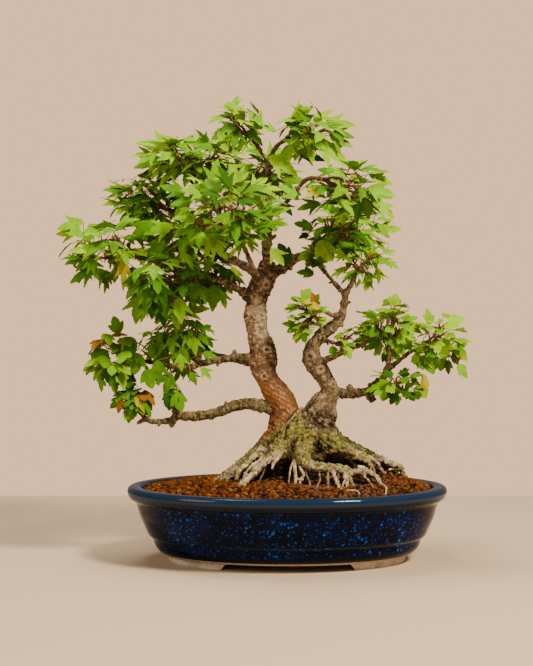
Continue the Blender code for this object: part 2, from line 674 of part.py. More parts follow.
def try_leaf(rng, twigs, centre, radii, length):
    """One random leaf off a twig, or nothing if it would leave the mass's space."""
    twig = rng.choice(twigs)
    root = twig.next_node()
    size = length * MM * rng.uniform(*BLADE_SIZE)
    heading = jitter(rng, 1.0).normalized() + (root - centre) / radii.length + Vector((0, 0, STALK_LIFT))
    heading.normalize()
    base = root + heading * rng.uniform(*STALK_LENGTH) * size
    along = heading + jitter(rng, BLADE_JITTER) - Vector((0, 0, BLADE_DROP))
    along.z *= BLADE_FLATTEN
    along.normalize()
    face_up = Vector(LIGHT) + heading * FACE_OUTWARD + jitter(rng, FACE_JITTER)
    shape = (root, base, along, face_up, size)
    if heading.dot(along) < LEAST_ALONG_STALK or abs(face_up.normalized().dot(along)) > MOST_EDGE_ON:
        return None
    if any(reach(v, centre, radii) > OUTER_REACH for v in leaf(*shape)[0][6:]):
        return None
    return twig, shape, base + along * 0.5 * size, reach(base + along * size, centre, radii)


def grow_leaves(name, space, twigs):
    """Leaves added one by one, each where the mass is emptiest and nothing is touched."""
    limb, centre, radii, count, length = MASSES[name]
    rng = random.Random(f"{name} leaves")
    centre, radii = point(*centre), point(*radii)
    solids, middles = [], []
    for _ in range(count):
        found = [try_leaf(rng, twigs, centre, radii, length) for _ in range(TRIES)]
        found = [leaf_try for leaf_try in found if leaf_try]
        found.sort(key=lambda f: -min([(f[2] - m).length for m in middles] or [0])
                                 - OUTWARD_PULL * radii.z * f[3])
        for twig, shape, middle, _ in found:
            verts, faces = leaf(*shape, CLEARANCE)
            if space.blocked((verts, faces), {name, f"{name} blades", f"{name} stalks"}):
                continue
            if space.blocked((verts, faces[STALK_FACES:]), only={name, f"{name} stalks"}):
                continue
            if space.blocked((verts, faces), only={f"{name} blades"}):
                continue
            twig.leaves += 1
            solids.append(leaf(*shape))
            middles.append(middle)
            space.add(f"{name} blades", (verts, faces[STALK_FACES:]))
            space.add(f"{name} stalks", (verts, faces[:STALK_FACES]))
            break
    return solids


def build_masses():
    leafy = new_material("leaf_green", (0.12, 0.3, 0.03), 0.5)
    space = Space()
    for name in ("trunk", "second_trunk", *BOUGHS, "pot", "soil"):
        space.add("limbs", as_solid(bpy.data.objects[name].data))
    grown = {}
    for name in MASSES:
        twigs = grow_twigs(name, space)
        solids = [twigs[0].solid(*STEM_RADIUS, STEM_SHARES)]
        solids += [twig.solid(*TWIG_RADIUS) for twig in twigs[1:]]
        for solid in solids:
            space.add(name, solid)
        grown[name] = (twigs, solids)
    for name, (twigs, solids) in grown.items():
        leaves = grow_leaves(name, space, twigs)
        place(name, combine(solids[0], solids[1:] + leaves, solver="MANIFOLD"), leafy)


def centre_on_table():
    """Moves every mesh, so that the origin lies under the middle of the whole plant."""
    meshes = [item.data for item in bpy.data.objects]
    box = box_of([v.co for mesh in meshes for v in mesh.vertices])
    shift = Vector((-sum(box[0]) / 2, -sum(box[1]) / 2, -box[2][0]))
    for mesh in meshes:
        mesh.transform(Matrix.Translation(shift))


def main():
    for item in list(bpy.data.objects):
        bpy.data.objects.remove(item, do_unlink=True)
    build_pot()
    build_foot("foot_left", -1)
    build_foot("foot_right", 1)
    build_soil()
    bark = new_material("bark", (0.22, 0.15, 0.1), 0.85)
    build_trunk(bark)
    build_second_trunk(bark)
    build_boughs(bark)
    build_masses()
    centre_on_table()


main()
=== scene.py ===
"""Looks of a bonsai trident maple with two trunks, in an oval glazed pot.

Built in the order that it is put together: pot, feet, soil, trunks, roots, spurs, moss, twigs and
leaves, and then the table, the lights and the camera. Places and lengths are in mm about the
pot's own axis, with -Y as the plant's front, unless a comment says metres.
"""
import math
import random

import bmesh
import bpy
import numpy as np
from mathutils import Matrix, Vector, noise
from mathutils.bvhtree import BVHTree
from mathutils.geometry import delaunay_2d_cdt
from mathutils.kdtree import KDTree


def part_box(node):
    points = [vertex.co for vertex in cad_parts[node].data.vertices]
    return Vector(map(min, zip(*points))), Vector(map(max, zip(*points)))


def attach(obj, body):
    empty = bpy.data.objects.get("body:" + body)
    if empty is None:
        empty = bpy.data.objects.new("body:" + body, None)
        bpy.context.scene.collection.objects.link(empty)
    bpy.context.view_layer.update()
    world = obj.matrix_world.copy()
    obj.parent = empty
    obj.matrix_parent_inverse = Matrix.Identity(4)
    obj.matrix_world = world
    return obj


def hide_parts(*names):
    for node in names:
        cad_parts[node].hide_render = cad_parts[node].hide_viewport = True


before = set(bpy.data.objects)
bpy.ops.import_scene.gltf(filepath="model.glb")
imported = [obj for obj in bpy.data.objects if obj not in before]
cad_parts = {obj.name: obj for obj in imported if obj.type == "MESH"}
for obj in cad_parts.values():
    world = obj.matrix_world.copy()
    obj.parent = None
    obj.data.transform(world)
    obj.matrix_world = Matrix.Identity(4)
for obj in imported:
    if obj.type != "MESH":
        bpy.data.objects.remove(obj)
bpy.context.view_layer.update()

# The pot is an oval bowl of pressed stoneware with a rolled rim and a step round its waist.
# It is dipped in dark blue glaze, which breaks into bright blue specks on the body and stops
# just short of the base, where the bare clay shows.
MM = 0.001
POT_HALF_WIDTH = 150
POT_HALF_DEPTH = 111
POT_SIDES = 180
PROFILE_STEP = 1.6
# Inset from the rim's widest line and height above the table, from the underside to the floor.
POT_PROFILE = (
    (60.0, 6.3), (38.0, 6.3), (34.6, 6.8), (31.6, 8.6), (28.2, 11.6), (25.6, 15.6), (24.4, 19.6),
    (23.2, 22.0), (20.4, 24.2), (18.7, 27.0), (16.2, 32.5), (12.2, 42.0), (9.6, 51.0), (7.4, 56.0),
    (2.8, 58.8), (0.5, 63.0), (0.5, 67.0), (3.0, 69.9), (11.0, 69.9), (13.2, 67.5), (16.5, 54.0),
    (24.0, 36.0), (38.0, 20.0), (58.0, 14.0),
)
NAVY = (0.0003, 0.0024, 0.013, 1)
NEAR_BLACK = (0.0012, 0.0012, 0.0022, 1)
CLOUD_BLUE = (0.001, 0.013, 0.08, 1)
RIM_BLUE = (0.007, 0.022, 0.052, 1)
COBALT = (0.004, 0.085, 0.55, 1)
PALE_BLUE = (0.06, 0.28, 0.80, 1)
BARE_CLAY = (0.50, 0.42, 0.31, 1)
DARK_CLAY = (0.26, 0.215, 0.16, 1)
GLAZE_END = 8.6
# Of each size of speck: cells in a metre, how far the largest reaches, and the cells that hold one.
SPECKS = ((290, 0.50, 0.7), (470, 0.44, 0.55), (800, 0.44, 0.45))
# In metres: where the specks begin and end on the body, where they thin out on the left, and
# where the rim's own blue and its thicker, glossier glaze begin.
SPECKS_BEGIN = (0.011, 0.016)
SPECKS_END = (0.060, 0.055)
SPECKS_THIN = (-0.105, -0.055)
RIM_BEGIN = (0.0615, 0.064)
GLOSS_BEGIN = (0.056, 0.064)

pot_low, pot_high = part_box("pot")
POT_AXIS = Vector(((pot_low.x + pot_high.x) / 2, (pot_low.y + pot_high.y) / 2, 0))


def spot(x, y, z):
    """A place given in mm about the pot's axis, in metres."""
    return POT_AXIS + Vector((x, y, z)) * MM


def curve_through(stations, step):
    """Samples about a step apart on a smooth curve through stations of any dimension."""
    samples = []
    last = len(stations) - 1
    for i in range(last):
        before, start = stations[max(i - 1, 0)], stations[i]
        end, after = stations[i + 1], stations[min(i + 2, last)]
        count = max(1, round(math.dist(start[:3], end[:3]) / step))
        for k in range(count):
            t = k / count
            samples.append(tuple(
                0.5 * (2 * b + (c - a) * t + (2 * a - 5 * b + 4 * c - d) * t ** 2
                       + (3 * b - a - 3 * c + d) * t ** 3)
                for a, b, c, d in zip(before, start, end, after)))
    samples.append(tuple(stations[last]))
    return samples


def circle(sides):
    """Cosine and sine of so many directions all round."""
    return [(math.cos(2 * math.pi * i / sides), math.sin(2 * math.pi * i / sides)) for i in range(sides)]


def ring_faces(sides, count):
    """Faces between a number of rings, each with so many corners, and a cap on either end."""
    faces = [(low + i, low + (i + 1) % sides, low + sides + (i + 1) % sides, low + sides + i)
             for low in range(0, sides * (count - 1), sides) for i in range(sides)]
    return faces + [tuple(reversed(range(sides))), tuple(range(sides * (count - 1), sides * count))]


def show(mesh, name, finishes, smooth=180, replaced=()):
    """Makes a mesh a shown piece: its finishes, its smooth angle and what it stands for."""
    for finish in finishes:
        mesh.materials.append(finish)
    mesh.shade_smooth()
    if smooth < 180:
        mesh.set_sharp_from_angle(angle=math.radians(smooth))
    piece = bpy.data.objects.new(name, mesh)
    bpy.context.scene.collection.objects.link(piece)
    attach(piece, "root")
    if replaced:
        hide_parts(*replaced)


def make_piece(name, verts, faces, finishes, smooth=180, replaced=(), dealt=None):
    """A piece of corners in mm and faces, with the number of the finish dealt to each face."""
    mesh = bpy.data.meshes.new(name)
    mesh.from_pydata([spot(*v) for v in verts], [], faces)
    mesh.update()
    show(mesh, name, finishes, smooth, replaced)
    if dealt:
        mesh.polygons.foreach_set("material_index", dealt)
    return mesh


class Nodes:
    """A node tree, and what can be worked out in it."""

    def __init__(self, tree):
        self.tree = tree

    def add(self, kind, inputs=(), **settings):
        """A shader node with its settings, its plain values and what its inputs are fed from."""
        made = self.tree.nodes.new("ShaderNode" + kind)
        for key, value in settings.items():
            setattr(made, key, value)
        for key, value in dict(inputs).items():
            if isinstance(value, bpy.types.NodeSocket):
                self.tree.links.new(value, made.inputs[key])
            else:
                made.inputs[key].default_value = value
        return made

    def blend(self, share, first, second):
        """One colour turning into another."""
        return self.add("Mix", {0: share, 6: first, 7: second}, data_type="RGBA").outputs[2]

    def step_up(self, value, low, high, bottom=0.0, top=1.0):
        """A value that climbs smoothly from bottom to top between low and high."""
        return self.add("MapRange", {0: value, 1: low, 2: high, 3: bottom, 4: top},
                        interpolation_type="SMOOTHSTEP").outputs[0]

    def work_out(self, operation, *values):
        """The result of one operation of the Math node."""
        return self.add("Math", dict(enumerate(values)), operation=operation).outputs[0]

    def times(self, first, second):
        return self.work_out("MULTIPLY", first, second)

    def larger(self, first, second):
        return self.work_out("MAXIMUM", first, second)


def grain_effect():
    """The shared grain: a cloudy noise, its share between two levels, and two colours mixed by it."""
    group = bpy.data.node_groups.new("grain", "ShaderNodeTree")
    for socket, kind, value in (
            ("Place", "Vector", (0, 0, 0)), ("Scale", "Float", 100), ("Detail", "Float", 4),
            ("Roughness", "Float", 0.6), ("Low", "Float", 0.35), ("High", "Float", 0.65),
            ("Light", "Color", (1, 1, 1, 1)), ("Dark", "Color", (0, 0, 0, 1))):
        made = group.interface.new_socket(socket, in_out="INPUT", socket_type="NodeSocket" + kind)
        made.default_value = value
    for socket, kind in (("Height", "Float"), ("Share", "Float"), ("Color", "Color")):
        group.interface.new_socket(socket, in_out="OUTPUT", socket_type="NodeSocket" + kind)
    nodes = Nodes(group)
    given = group.nodes.new("NodeGroupInput").outputs
    cloud = nodes.add("TexNoise", {"Vector": given["Place"], "Scale": given["Scale"],
                                   "Detail": given["Detail"], "Roughness": given["Roughness"]}).outputs[0]
    share = nodes.step_up(cloud, given["Low"], given["High"])
    result = group.nodes.new("NodeGroupOutput").inputs
    group.links.new(cloud, result["Height"])
    group.links.new(share, result["Share"])
    group.links.new(nodes.blend(share, given["Light"], given["Dark"]), result["Color"])
    return group


grain_group = grain_effect()


class Finish(Nodes):
    """A material as it is made, with its shader's sockets and its place on the object, in metres."""

    def __init__(self, name, roughness=0.5, shine=0.2):
        self.material = bpy.data.materials.new(name)
        self.material.use_nodes = True
        super().__init__(self.material.node_tree)
        self.sockets = self.tree.nodes["Principled BSDF"].inputs
        self.sockets["Roughness"].default_value = roughness
        self.sockets["Specular IOR Level"].default_value = shine
        self.place = self.add("TexCoord").outputs["Object"]

    def feed(self, name, value):
        """Links a value that changes over the surface to one of the shader's sockets."""
        self.tree.links.new(value, self.sockets[name])

    def grain(self, scale, detail=4.0, roughness=0.6, **values):
        """The grain effect placed in the material with its own values."""
        values = dict(values, place=self.place, scale=scale, detail=detail, roughness=roughness)
        inputs = {name.capitalize(): value for name, value in values.items()}
        return self.add("Group", inputs, node_tree=grain_group).outputs

    def lift(self, height, strength, distance):
        """Feeds a height to the shader as a bump of so many mm."""
        bump = self.add("Bump", {"Height": height, "Strength": strength, "Distance": distance * MM})
        self.feed("Normal", bump.outputs[0])


glaze = Finish("blue_glaze_finish", 0.14, 0.06)
glaze.sockets["Coat Roughness"].default_value = 0.09
glaze.sockets["IOR"].default_value = 1.45
aside, _, high = glaze.add("SeparateXYZ", {0: glaze.place}).outputs
specks = None
for scale, largest, filled in SPECKS:
    cells = glaze.add("TexVoronoi", {"Vector": glaze.place, "Scale": scale})
    size, chance, bright = glaze.add("SeparateColor", {0: cells.outputs["Color"]}).outputs
    edge = glaze.times(glaze.times(size, glaze.work_out("GREATER_THAN", chance, 1 - filled)), largest)
    inside = glaze.work_out("SUBTRACT", edge, cells.outputs["Distance"])
    mask = glaze.times(glaze.step_up(inside, 0.0, 0.14), glaze.step_up(bright, 0.0, 1.0, 0.3, 1.0))
    specks = mask if specks is None else glaze.larger(specks, mask)
patches = glaze.larger(glaze.grain(22, 3, low=0.34, high=0.62)["Share"], 0.2)
band = glaze.times(glaze.step_up(high, *SPECKS_BEGIN), glaze.step_up(high, *SPECKS_END))
shown = glaze.times(glaze.times(patches, glaze.step_up(aside, *SPECKS_THIN, 0.3, 1.0)), band)
cloud = glaze.times(glaze.grain(60, low=0.42, high=0.75)["Share"], 0.6)
body = glaze.grain(24, 5, low=0.45, high=0.75, light=NAVY, dark=NEAR_BLACK)["Color"]
body = glaze.blend(glaze.times(cloud, shown), body, CLOUD_BLUE)
body = glaze.blend(glaze.step_up(high, *RIM_BEGIN), body, RIM_BLUE)
blue = glaze.grain(140, 2, low=0.52, high=0.75, light=COBALT, dark=PALE_BLUE)["Color"]
body = glaze.blend(glaze.times(specks, shown), body, blue)
bare = glaze.step_up(high, (GLAZE_END + 0.4) * MM, (GLAZE_END - 0.4) * MM)
bare_clay = glaze.grain(500, 3, light=BARE_CLAY, dark=DARK_CLAY)["Color"]
glaze.feed("Base Color", glaze.blend(bare, body, bare_clay))
rough = glaze.work_out("ADD", glaze.times(glaze.grain(60)["Share"], 0.12), 0.07)
glaze.feed("Roughness", glaze.larger(rough, glaze.times(bare, 0.85)))
gloss = glaze.step_up(high, *GLOSS_BEGIN, 0.04, 0.36)
glaze.feed("Coat Weight", glaze.times(gloss, glaze.work_out("SUBTRACT", 1.0, bare)))
glaze.lift(glaze.grain(90, 3)["Height"], 0.12, 0.6)

profile = curve_through(POT_PROFILE, PROFILE_STEP)
verts = [((POT_HALF_WIDTH - inset) * c, (POT_HALF_DEPTH - inset) * s, height)
         for inset, height in profile for c, s in circle(POT_SIDES)]
make_piece("pot_glazed", verts, ring_faces(POT_SIDES, len(profile)), [glaze.material],
           50, ["pot"])


# Two C-shaped feet, one round each end of the pot, cut with a slanting face at front and back.
# They are the same stoneware left bare, wiped and worn a little grey where they stand.
FOOT_INSET = 39
FOOT_STEPS = 60
# Corners of a foot's section: how far in from its outer side, how high, and half the gap there
# between the two feet, which widens towards the table.
FOOT_SECTION = ((0.5, 0, 61), (0, 0.5, 61), (0, 6, 56), (12, 6, 56), (12, 0.5, 61), (11.5, 0, 61))
FOOT_LIGHT = (0.72, 0.63, 0.51, 1)
FOOT_DARK = (0.47, 0.40, 0.30, 1)
FOOT_STAIN = (0.27, 0.23, 0.12, 1)

clay = Finish("foot_clay_finish", 0.85)
grit = clay.grain(420, 6, 0.7, low=0.3, high=0.7, light=FOOT_LIGHT, dark=FOOT_DARK)
stain = clay.times(clay.grain(45, low=0.45, high=0.7)["Share"], 0.6)
clay.feed("Base Color", clay.blend(stain, grit["Color"], FOOT_STAIN))
clay.lift(grit["Height"], 0.5, 0.4)

for side, name in ((-1, "foot_left"), (1, "foot_right")):
    verts = []
    for i in range(FOOT_STEPS + 1):
        share = 2 * i / FOOT_STEPS - 1
        ring = []
        for depth, height, gap in FOOT_SECTION:
            wide, deep = POT_HALF_WIDTH - FOOT_INSET - depth, POT_HALF_DEPTH - FOOT_INSET - depth
            angle = share * math.acos(gap / wide)
            ring.append((side * wide * math.cos(angle), deep * math.sin(angle), height))
        # The right foot's rings run the other way round, so that its faces look out too.
        verts += ring[::-side]
    make_piece(f"{name}_clay", verts, ring_faces(len(FOOT_SECTION), FOOT_STEPS + 1), [clay.material],
               35, [name])


# The soil is a bed of fired clay granules, two to six mm across, heaped up under the roots.
# The bed itself is the modelled soil, painted near black as shade. Loose granules lie over it in
# two layers, sifted: the lower ones are smaller and painted dark as shade, the upper ones bright.
SOIL_INSET = 13.6
GRANULE_KINDS = 14
# Of each layer: spacing, how high the middles lie over the bed, radius, fineness of shape, and
# how the tones share its granules; the lower layer takes the dark tones as painted shade. The last
# tone is dusty, and its share grows towards the right.
GRANULE_LAYERS = (
    (3.7, -1.4, 1.9, 1, (0.06, 0.3, 0.64, 0, 0)),
    (4.7, 0.2, 2.35, 2, (0.42, 0.3, 0.12, 0.16, 0.8)),
)
GRANULE_TONES = (
    (0.19, 0.048, 0.003), (0.10, 0.025, 0.002), (0.028, 0.009, 0.002), (0.30, 0.10, 0.012),
    (0.175, 0.062, 0.022),
)
ROW_SHARE = 0.866
SWAY = 0.3
# Share of the upper granules that is missing where roots hang over the bed.
LOST_UNDER_ROOTS = 0.3
DUSTY_SPAN = 120
# A height over everything, from which the bed is looked for.
OVERHEAD = 200
UP = Vector((0, 0, 1))


def grained(name, roughness, bump, scale, detail=4.0, noise_roughness=0.6, **values):
    """A material whose colours and bump, of a strength and so many mm, come from one grain."""
    finish = Finish(name, roughness)
    skin = finish.grain(scale, detail, noise_roughness, **values)
    finish.feed("Base Color", skin["Color"])
    if bump:
        finish.lift(skin["Height"], *bump)
    return finish.material


def ball(subdivisions):
    """Corners and triangles of a ball of radius 1."""
    form = bmesh.new()
    bmesh.ops.create_icosphere(form, subdivisions=subdivisions, radius=1)
    corners = [v.co.copy() for v in form.verts]
    faces = [[v.index for v in f.verts] for f in form.faces]
    form.free()
    return corners, faces


def granule_shapes(rng, subdivisions):
    """Chunky crumbs of radius 1: round crumbs with a few flat broken sides."""
    corners, faces = ball(subdivisions)
    shapes = []
    for _ in range(GRANULE_KINDS):
        flats = [(Vector([rng.gauss(0, 1) for _ in range(3)]).normalized(), rng.uniform(0.55, 0.85))
                 for _ in range(5)]
        stretch = Vector((rng.uniform(0.85, 1.2), rng.uniform(0.8, 1.1), rng.uniform(0.65, 0.95)))
        crumb = []
        for corner in corners:
            place = corner * rng.uniform(0.88, 1.1)
            for facing, reach in flats:
                beyond = place.dot(facing) - reach
                if beyond > 0:
                    place -= facing * beyond
            crumb.append(place * stretch)
        shapes.append((crumb, faces))
    return shapes


def add_part(verts, faces, corners, part_faces):
    """Adds a part's corners and faces to a piece's, and counts the faces."""
    faces += [[len(verts) + i for i in face] for face in part_faces]
    verts += corners
    return len(part_faces)


def surface_of(names):
    """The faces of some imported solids, to measure against."""
    verts, faces = [], []
    for name in names:
        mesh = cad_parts[name].data
        corners = [(v.co - POT_AXIS) / MM for v in mesh.vertices]
        add_part(verts, faces, corners, [p.vertices for p in mesh.polygons])
    return BVHTree.FromPolygons(verts, faces)


grits = [grained(f"grit_finish_{k + 1}", 0.95, (0.7, 0.35), 900, 5, 0.7, low=0.35, high=0.7,
                 light=(*tone, 1), dark=(*(0.5 * c for c in tone), 1))
         for k, tone in enumerate(GRANULE_TONES)]
# The bed's near black is painted shade between the granules.
bed = grained("soil_bed_painted_shade_finish", 1.0, (1.0, 1.5), 260, 6, 0.75, low=0.4,
              light=(0.022, 0.008, 0.002, 1), dark=(0.006, 0.003, 0.001, 1))
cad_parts["soil"].data.materials.clear()
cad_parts["soil"].data.materials.append(bed)

bed_surface = surface_of(["soil"])
root_surface = surface_of(["trunk"])
rng = random.Random("granules")
for layer, (spacing, rise, size, subdivisions, shares) in enumerate(GRANULE_LAYERS):
    shapes = granule_shapes(rng, subdivisions)
    verts, faces, dealt = [], [], []
    for row in range(int(2 * POT_HALF_DEPTH / (spacing * ROW_SHARE))):
        for column in range(int(2 * POT_HALF_WIDTH / spacing)):
            x = -POT_HALF_WIDTH + (column + 0.5 * (row % 2)) * spacing + rng.uniform(-SWAY, SWAY) * spacing
            y = -POT_HALF_DEPTH + row * spacing * ROW_SHARE + rng.uniform(-SWAY, SWAY) * spacing
            radius = size * rng.uniform(0.62, 1.18)
            edge = SOIL_INSET + radius
            if math.hypot(x / (POT_HALF_WIDTH - edge), y / (POT_HALF_DEPTH - edge)) > 1:
                continue
            bed_place = bed_surface.ray_cast(Vector((x, y, OVERHEAD)), -UP)[0]
            if bed_place is None:
                continue
            centre = bed_place + UP * (rise + rng.uniform(-0.6, 0.6))
            if rng.random() < LOST_UNDER_ROOTS and layer == 1 and root_surface.ray_cast(centre, UP)[0]:
                continue
            turn = Matrix.Rotation(rng.uniform(0, 6.28), 3, "X")
            turn = turn @ Matrix.Rotation(rng.uniform(0, 6.28), 3, "Z")
            crumb, sides = rng.choice(shapes)
            count = add_part(verts, faces, [centre + turn @ corner * radius for corner in crumb], sides)
            dusty = shares[-1] * min(1, max(0, 0.5 + x / DUSTY_SPAN))
            dealt += rng.choices(range(len(grits)), (*shares[:-1], dusty)) * count
    make_piece(f"soil_granules_{layer + 1}", verts, faces, grits, 30, dealt=dealt)


# Both trunks grow from one low base of fused, spreading roots. The boughs have been trained with
# wire and cut back again and again, so they are crooked and knotty. All of it is one living piece
# of wood, so one closed form is grown round its lines and then carved.
LINE_STEP = 1.5
WOOD_VOXEL = 0.8
BARK_SEED = 7
TRUNK_SIDES = 28
LIMB_SIDES = 18
STUB_SIDES = 12
FLARE_SIDES = 40
# Stations of both trunks and of the shoulder between them: x, y, z and half thickness.
TRUNK_ROUTE = (
    (4, 4, 96, 24), (-4, 5, 120, 15), (-2, 5, 140, 13), (-6, 5, 150, 12.8), (-12, 5, 159, 12),
    (-18, 5, 169, 10.2), (-22, 5, 178, 12), (-22, 5, 188, 13), (-24, 5, 201, 12), (-28, 5, 214, 9.6),
    (-29.5, 5, 232, 10.6), (-28, 5, 244, 9), (-26, 5, 254, 11.2), (-21, 5, 266, 10), (-18, 5, 280, 7.0),
)
SECOND_ROUTE = (
    (33, -1, 142, 15), (35, -0.5, 147.5, 12.2), (38.8, 0, 153.5, 9.8), (40, 0, 160, 8.2), (38, 0, 167, 7.6),
    (32, 0, 176, 8.6), (24.5, 0, 186, 9.4), (23, 0, 195, 8), (26.5, 0, 204, 5.8), (36, 0, 214, 5.8),
    (46, 0, 222, 5), (52, 0, 233, 3.6), (55, 0, 249, 2.8), (60, -2, 259, 2.4), (63, -4, 269, 2),
)
SHOULDER_ROUTE = (
    (22, 2, 104, 22), (27.5, 0, 124, 18), (30.3, -1, 134.5, 16), (33, -1, 142, 15),
)
# Middle x and y, half width, half depth and height of the base's core.
FLARE_RINGS = (
    (20, 5, 50, 22, 68), (20, 4, 49, 24, 80), (18, 3, 46, 26, 93), (16, 1, 42, 26, 106),
    (15, 0, 34.5, 21, 121), (15, 1, 24, 15, 133), (15, 1, 12, 9, 142),
)
# Roots that stand out of the base: stations (x, y, z, half thickness).
ROOTS = (
    ((-12, 0, 112, 12), (-22, -3, 103, 10), (-33, -5, 93, 8), (-45, -6, 85, 6.5), (-56, -8, 79, 5.2),
     (-67, -9, 71, 4)),
    ((-28, -14, 99.9, 3.4), (-33.1, -19, 96.2, 2.8), (-39.7, -25, 90.8, 2.3), (-44.5, -29, 86.2, 2),
     (-47, -31, 78, 1.6)),
    ((-21.4, -17, 97.4, 2.6), (-25.3, -21, 95.1, 2.1), (-32.3, -27, 90.6, 1.9), (-38, -32, 85.5, 1.6),
     (-41, -34, 78, 1.4)),
    ((-2, -14, 107, 6), (-14.8, -26, 98.4, 4.6), (-22.5, -33, 93.8, 3.9), (-30.2, -41, 86.3, 3.3),
     (-36.4, -46, 81.1, 2.9), (-42.6, -51, 77.3, 2.2), (-47, -53, 71, 1.7)),
    ((-34.6, -45, 82.5, 1.9), (-37.9, -50, 77.2, 1.6), (-40, -54, 71, 1.3)),
    ((6, -16, 108, 9), (10.1, -24, 104, 8), (13.6, -36, 98.6, 6.8), (19.3, -43, 93.3, 5.8),
     (26.5, -47, 91, 5.2), (37.3, -49, 90.6, 4.9), (45.9, -50, 90.3, 4.8), (53.2, -50, 88.4, 4.7),
     (59, -50, 87, 4.2), (65.5, -50, 88.1, 3.9), (72.1, -48, 87.4, 3.5), (78.6, -46, 83.7, 2.8),
     (82.3, -45, 80.2, 2.2), (85, -45, 72, 1.6)),
    ((39.7, -51, 90, 2.2), (42.3, -57, 84.3, 1.7), (44.6, -62, 78.6, 1.5), (48.7, -72, 69, 1.2)),
    ((51.9, -51, 87.3, 3.2), (52.7, -55, 82.3, 2.7), (53.9, -60, 74, 1.9)),
    ((66.9, -50, 86.2, 2), (71.1, -54, 82.2, 1.6), (73.8, -57, 79.8, 1.4), (77.6, -62, 74, 1.1)),
    ((24, -8, 118, 12), (35.9, -18, 110, 9), (50.4, -24, 106, 6.8), (59.9, -27, 102, 5.4),
     (68.7, -28, 98.5, 4.5), (74.2, -28, 94, 3.5), (78, -27, 86, 2.8), (80, -27, 76, 2)),
    ((32, 0, 122, 13), (44, -3, 112, 9.5), (56, -5, 106.5, 7), (68, -4, 102.5, 5.4), (79, -1, 97.5, 4.6),
     (91, 3, 92, 3.9), (98.5, 6, 88.6, 3.2), (104.8, 7, 88, 2.8), (108, 7, 84.6, 2.5), (109, 7, 79, 2.2),
     (110.5, 6, 70, 2)),
    ((51.9, -13, 105.6, 4.6), (63.8, -17, 101.8, 3.6), (73.6, -18, 98.4, 3), (82.4, -17, 93.2, 2.5),
     (90, -16, 82, 2)),
    ((66, 2, 103, 5), (80, 10, 96, 3.6), (90, 16, 88, 2.8), (98, 19, 78, 2)),
    ((36, 14, 108, 10), (54, 22, 98, 6.5), (72, 30, 90, 4.6), (86, 36, 84, 3.2), (94, 40, 72, 2)),
    ((24, 18, 108, 9), (30, 32, 98, 6.5), (34, 44, 90, 4.6), (40, 52, 82, 3), (43, 57, 71, 2)),
    ((8, 18, 108, 9), (0, 32, 98, 6.5), (-10, 42, 90, 4.8), (-16, 50, 82, 3.2), (-22, 56, 71, 2)),
    ((-8, 12, 108, 10), (-26, 20, 97, 7), (-40, 26, 90, 5), (-50, 31, 82, 3.6), (-58, 35, 71, 2.2)),
    ((52, 26, 99, 3.2), (58, 36, 92, 2.5), (62, 46, 82, 2), (64, 52, 71, 1.5)),
    ((-18, 26, 95, 3.2), (-30, 38, 88, 2.5), (-36, 48, 80, 2), (-40, 55, 71, 1.4)),
    ((12, 30, 98, 3.2), (12, 42, 90, 2.5), (10, 54, 82, 2), (12, 62, 71, 1.4)),
    ((0, 2, 106, 10), (-24, 10, 97, 7), (-42, 12, 88, 5), (-56, 12, 80, 3.6), (-66, 12, 71, 2.4)),
)
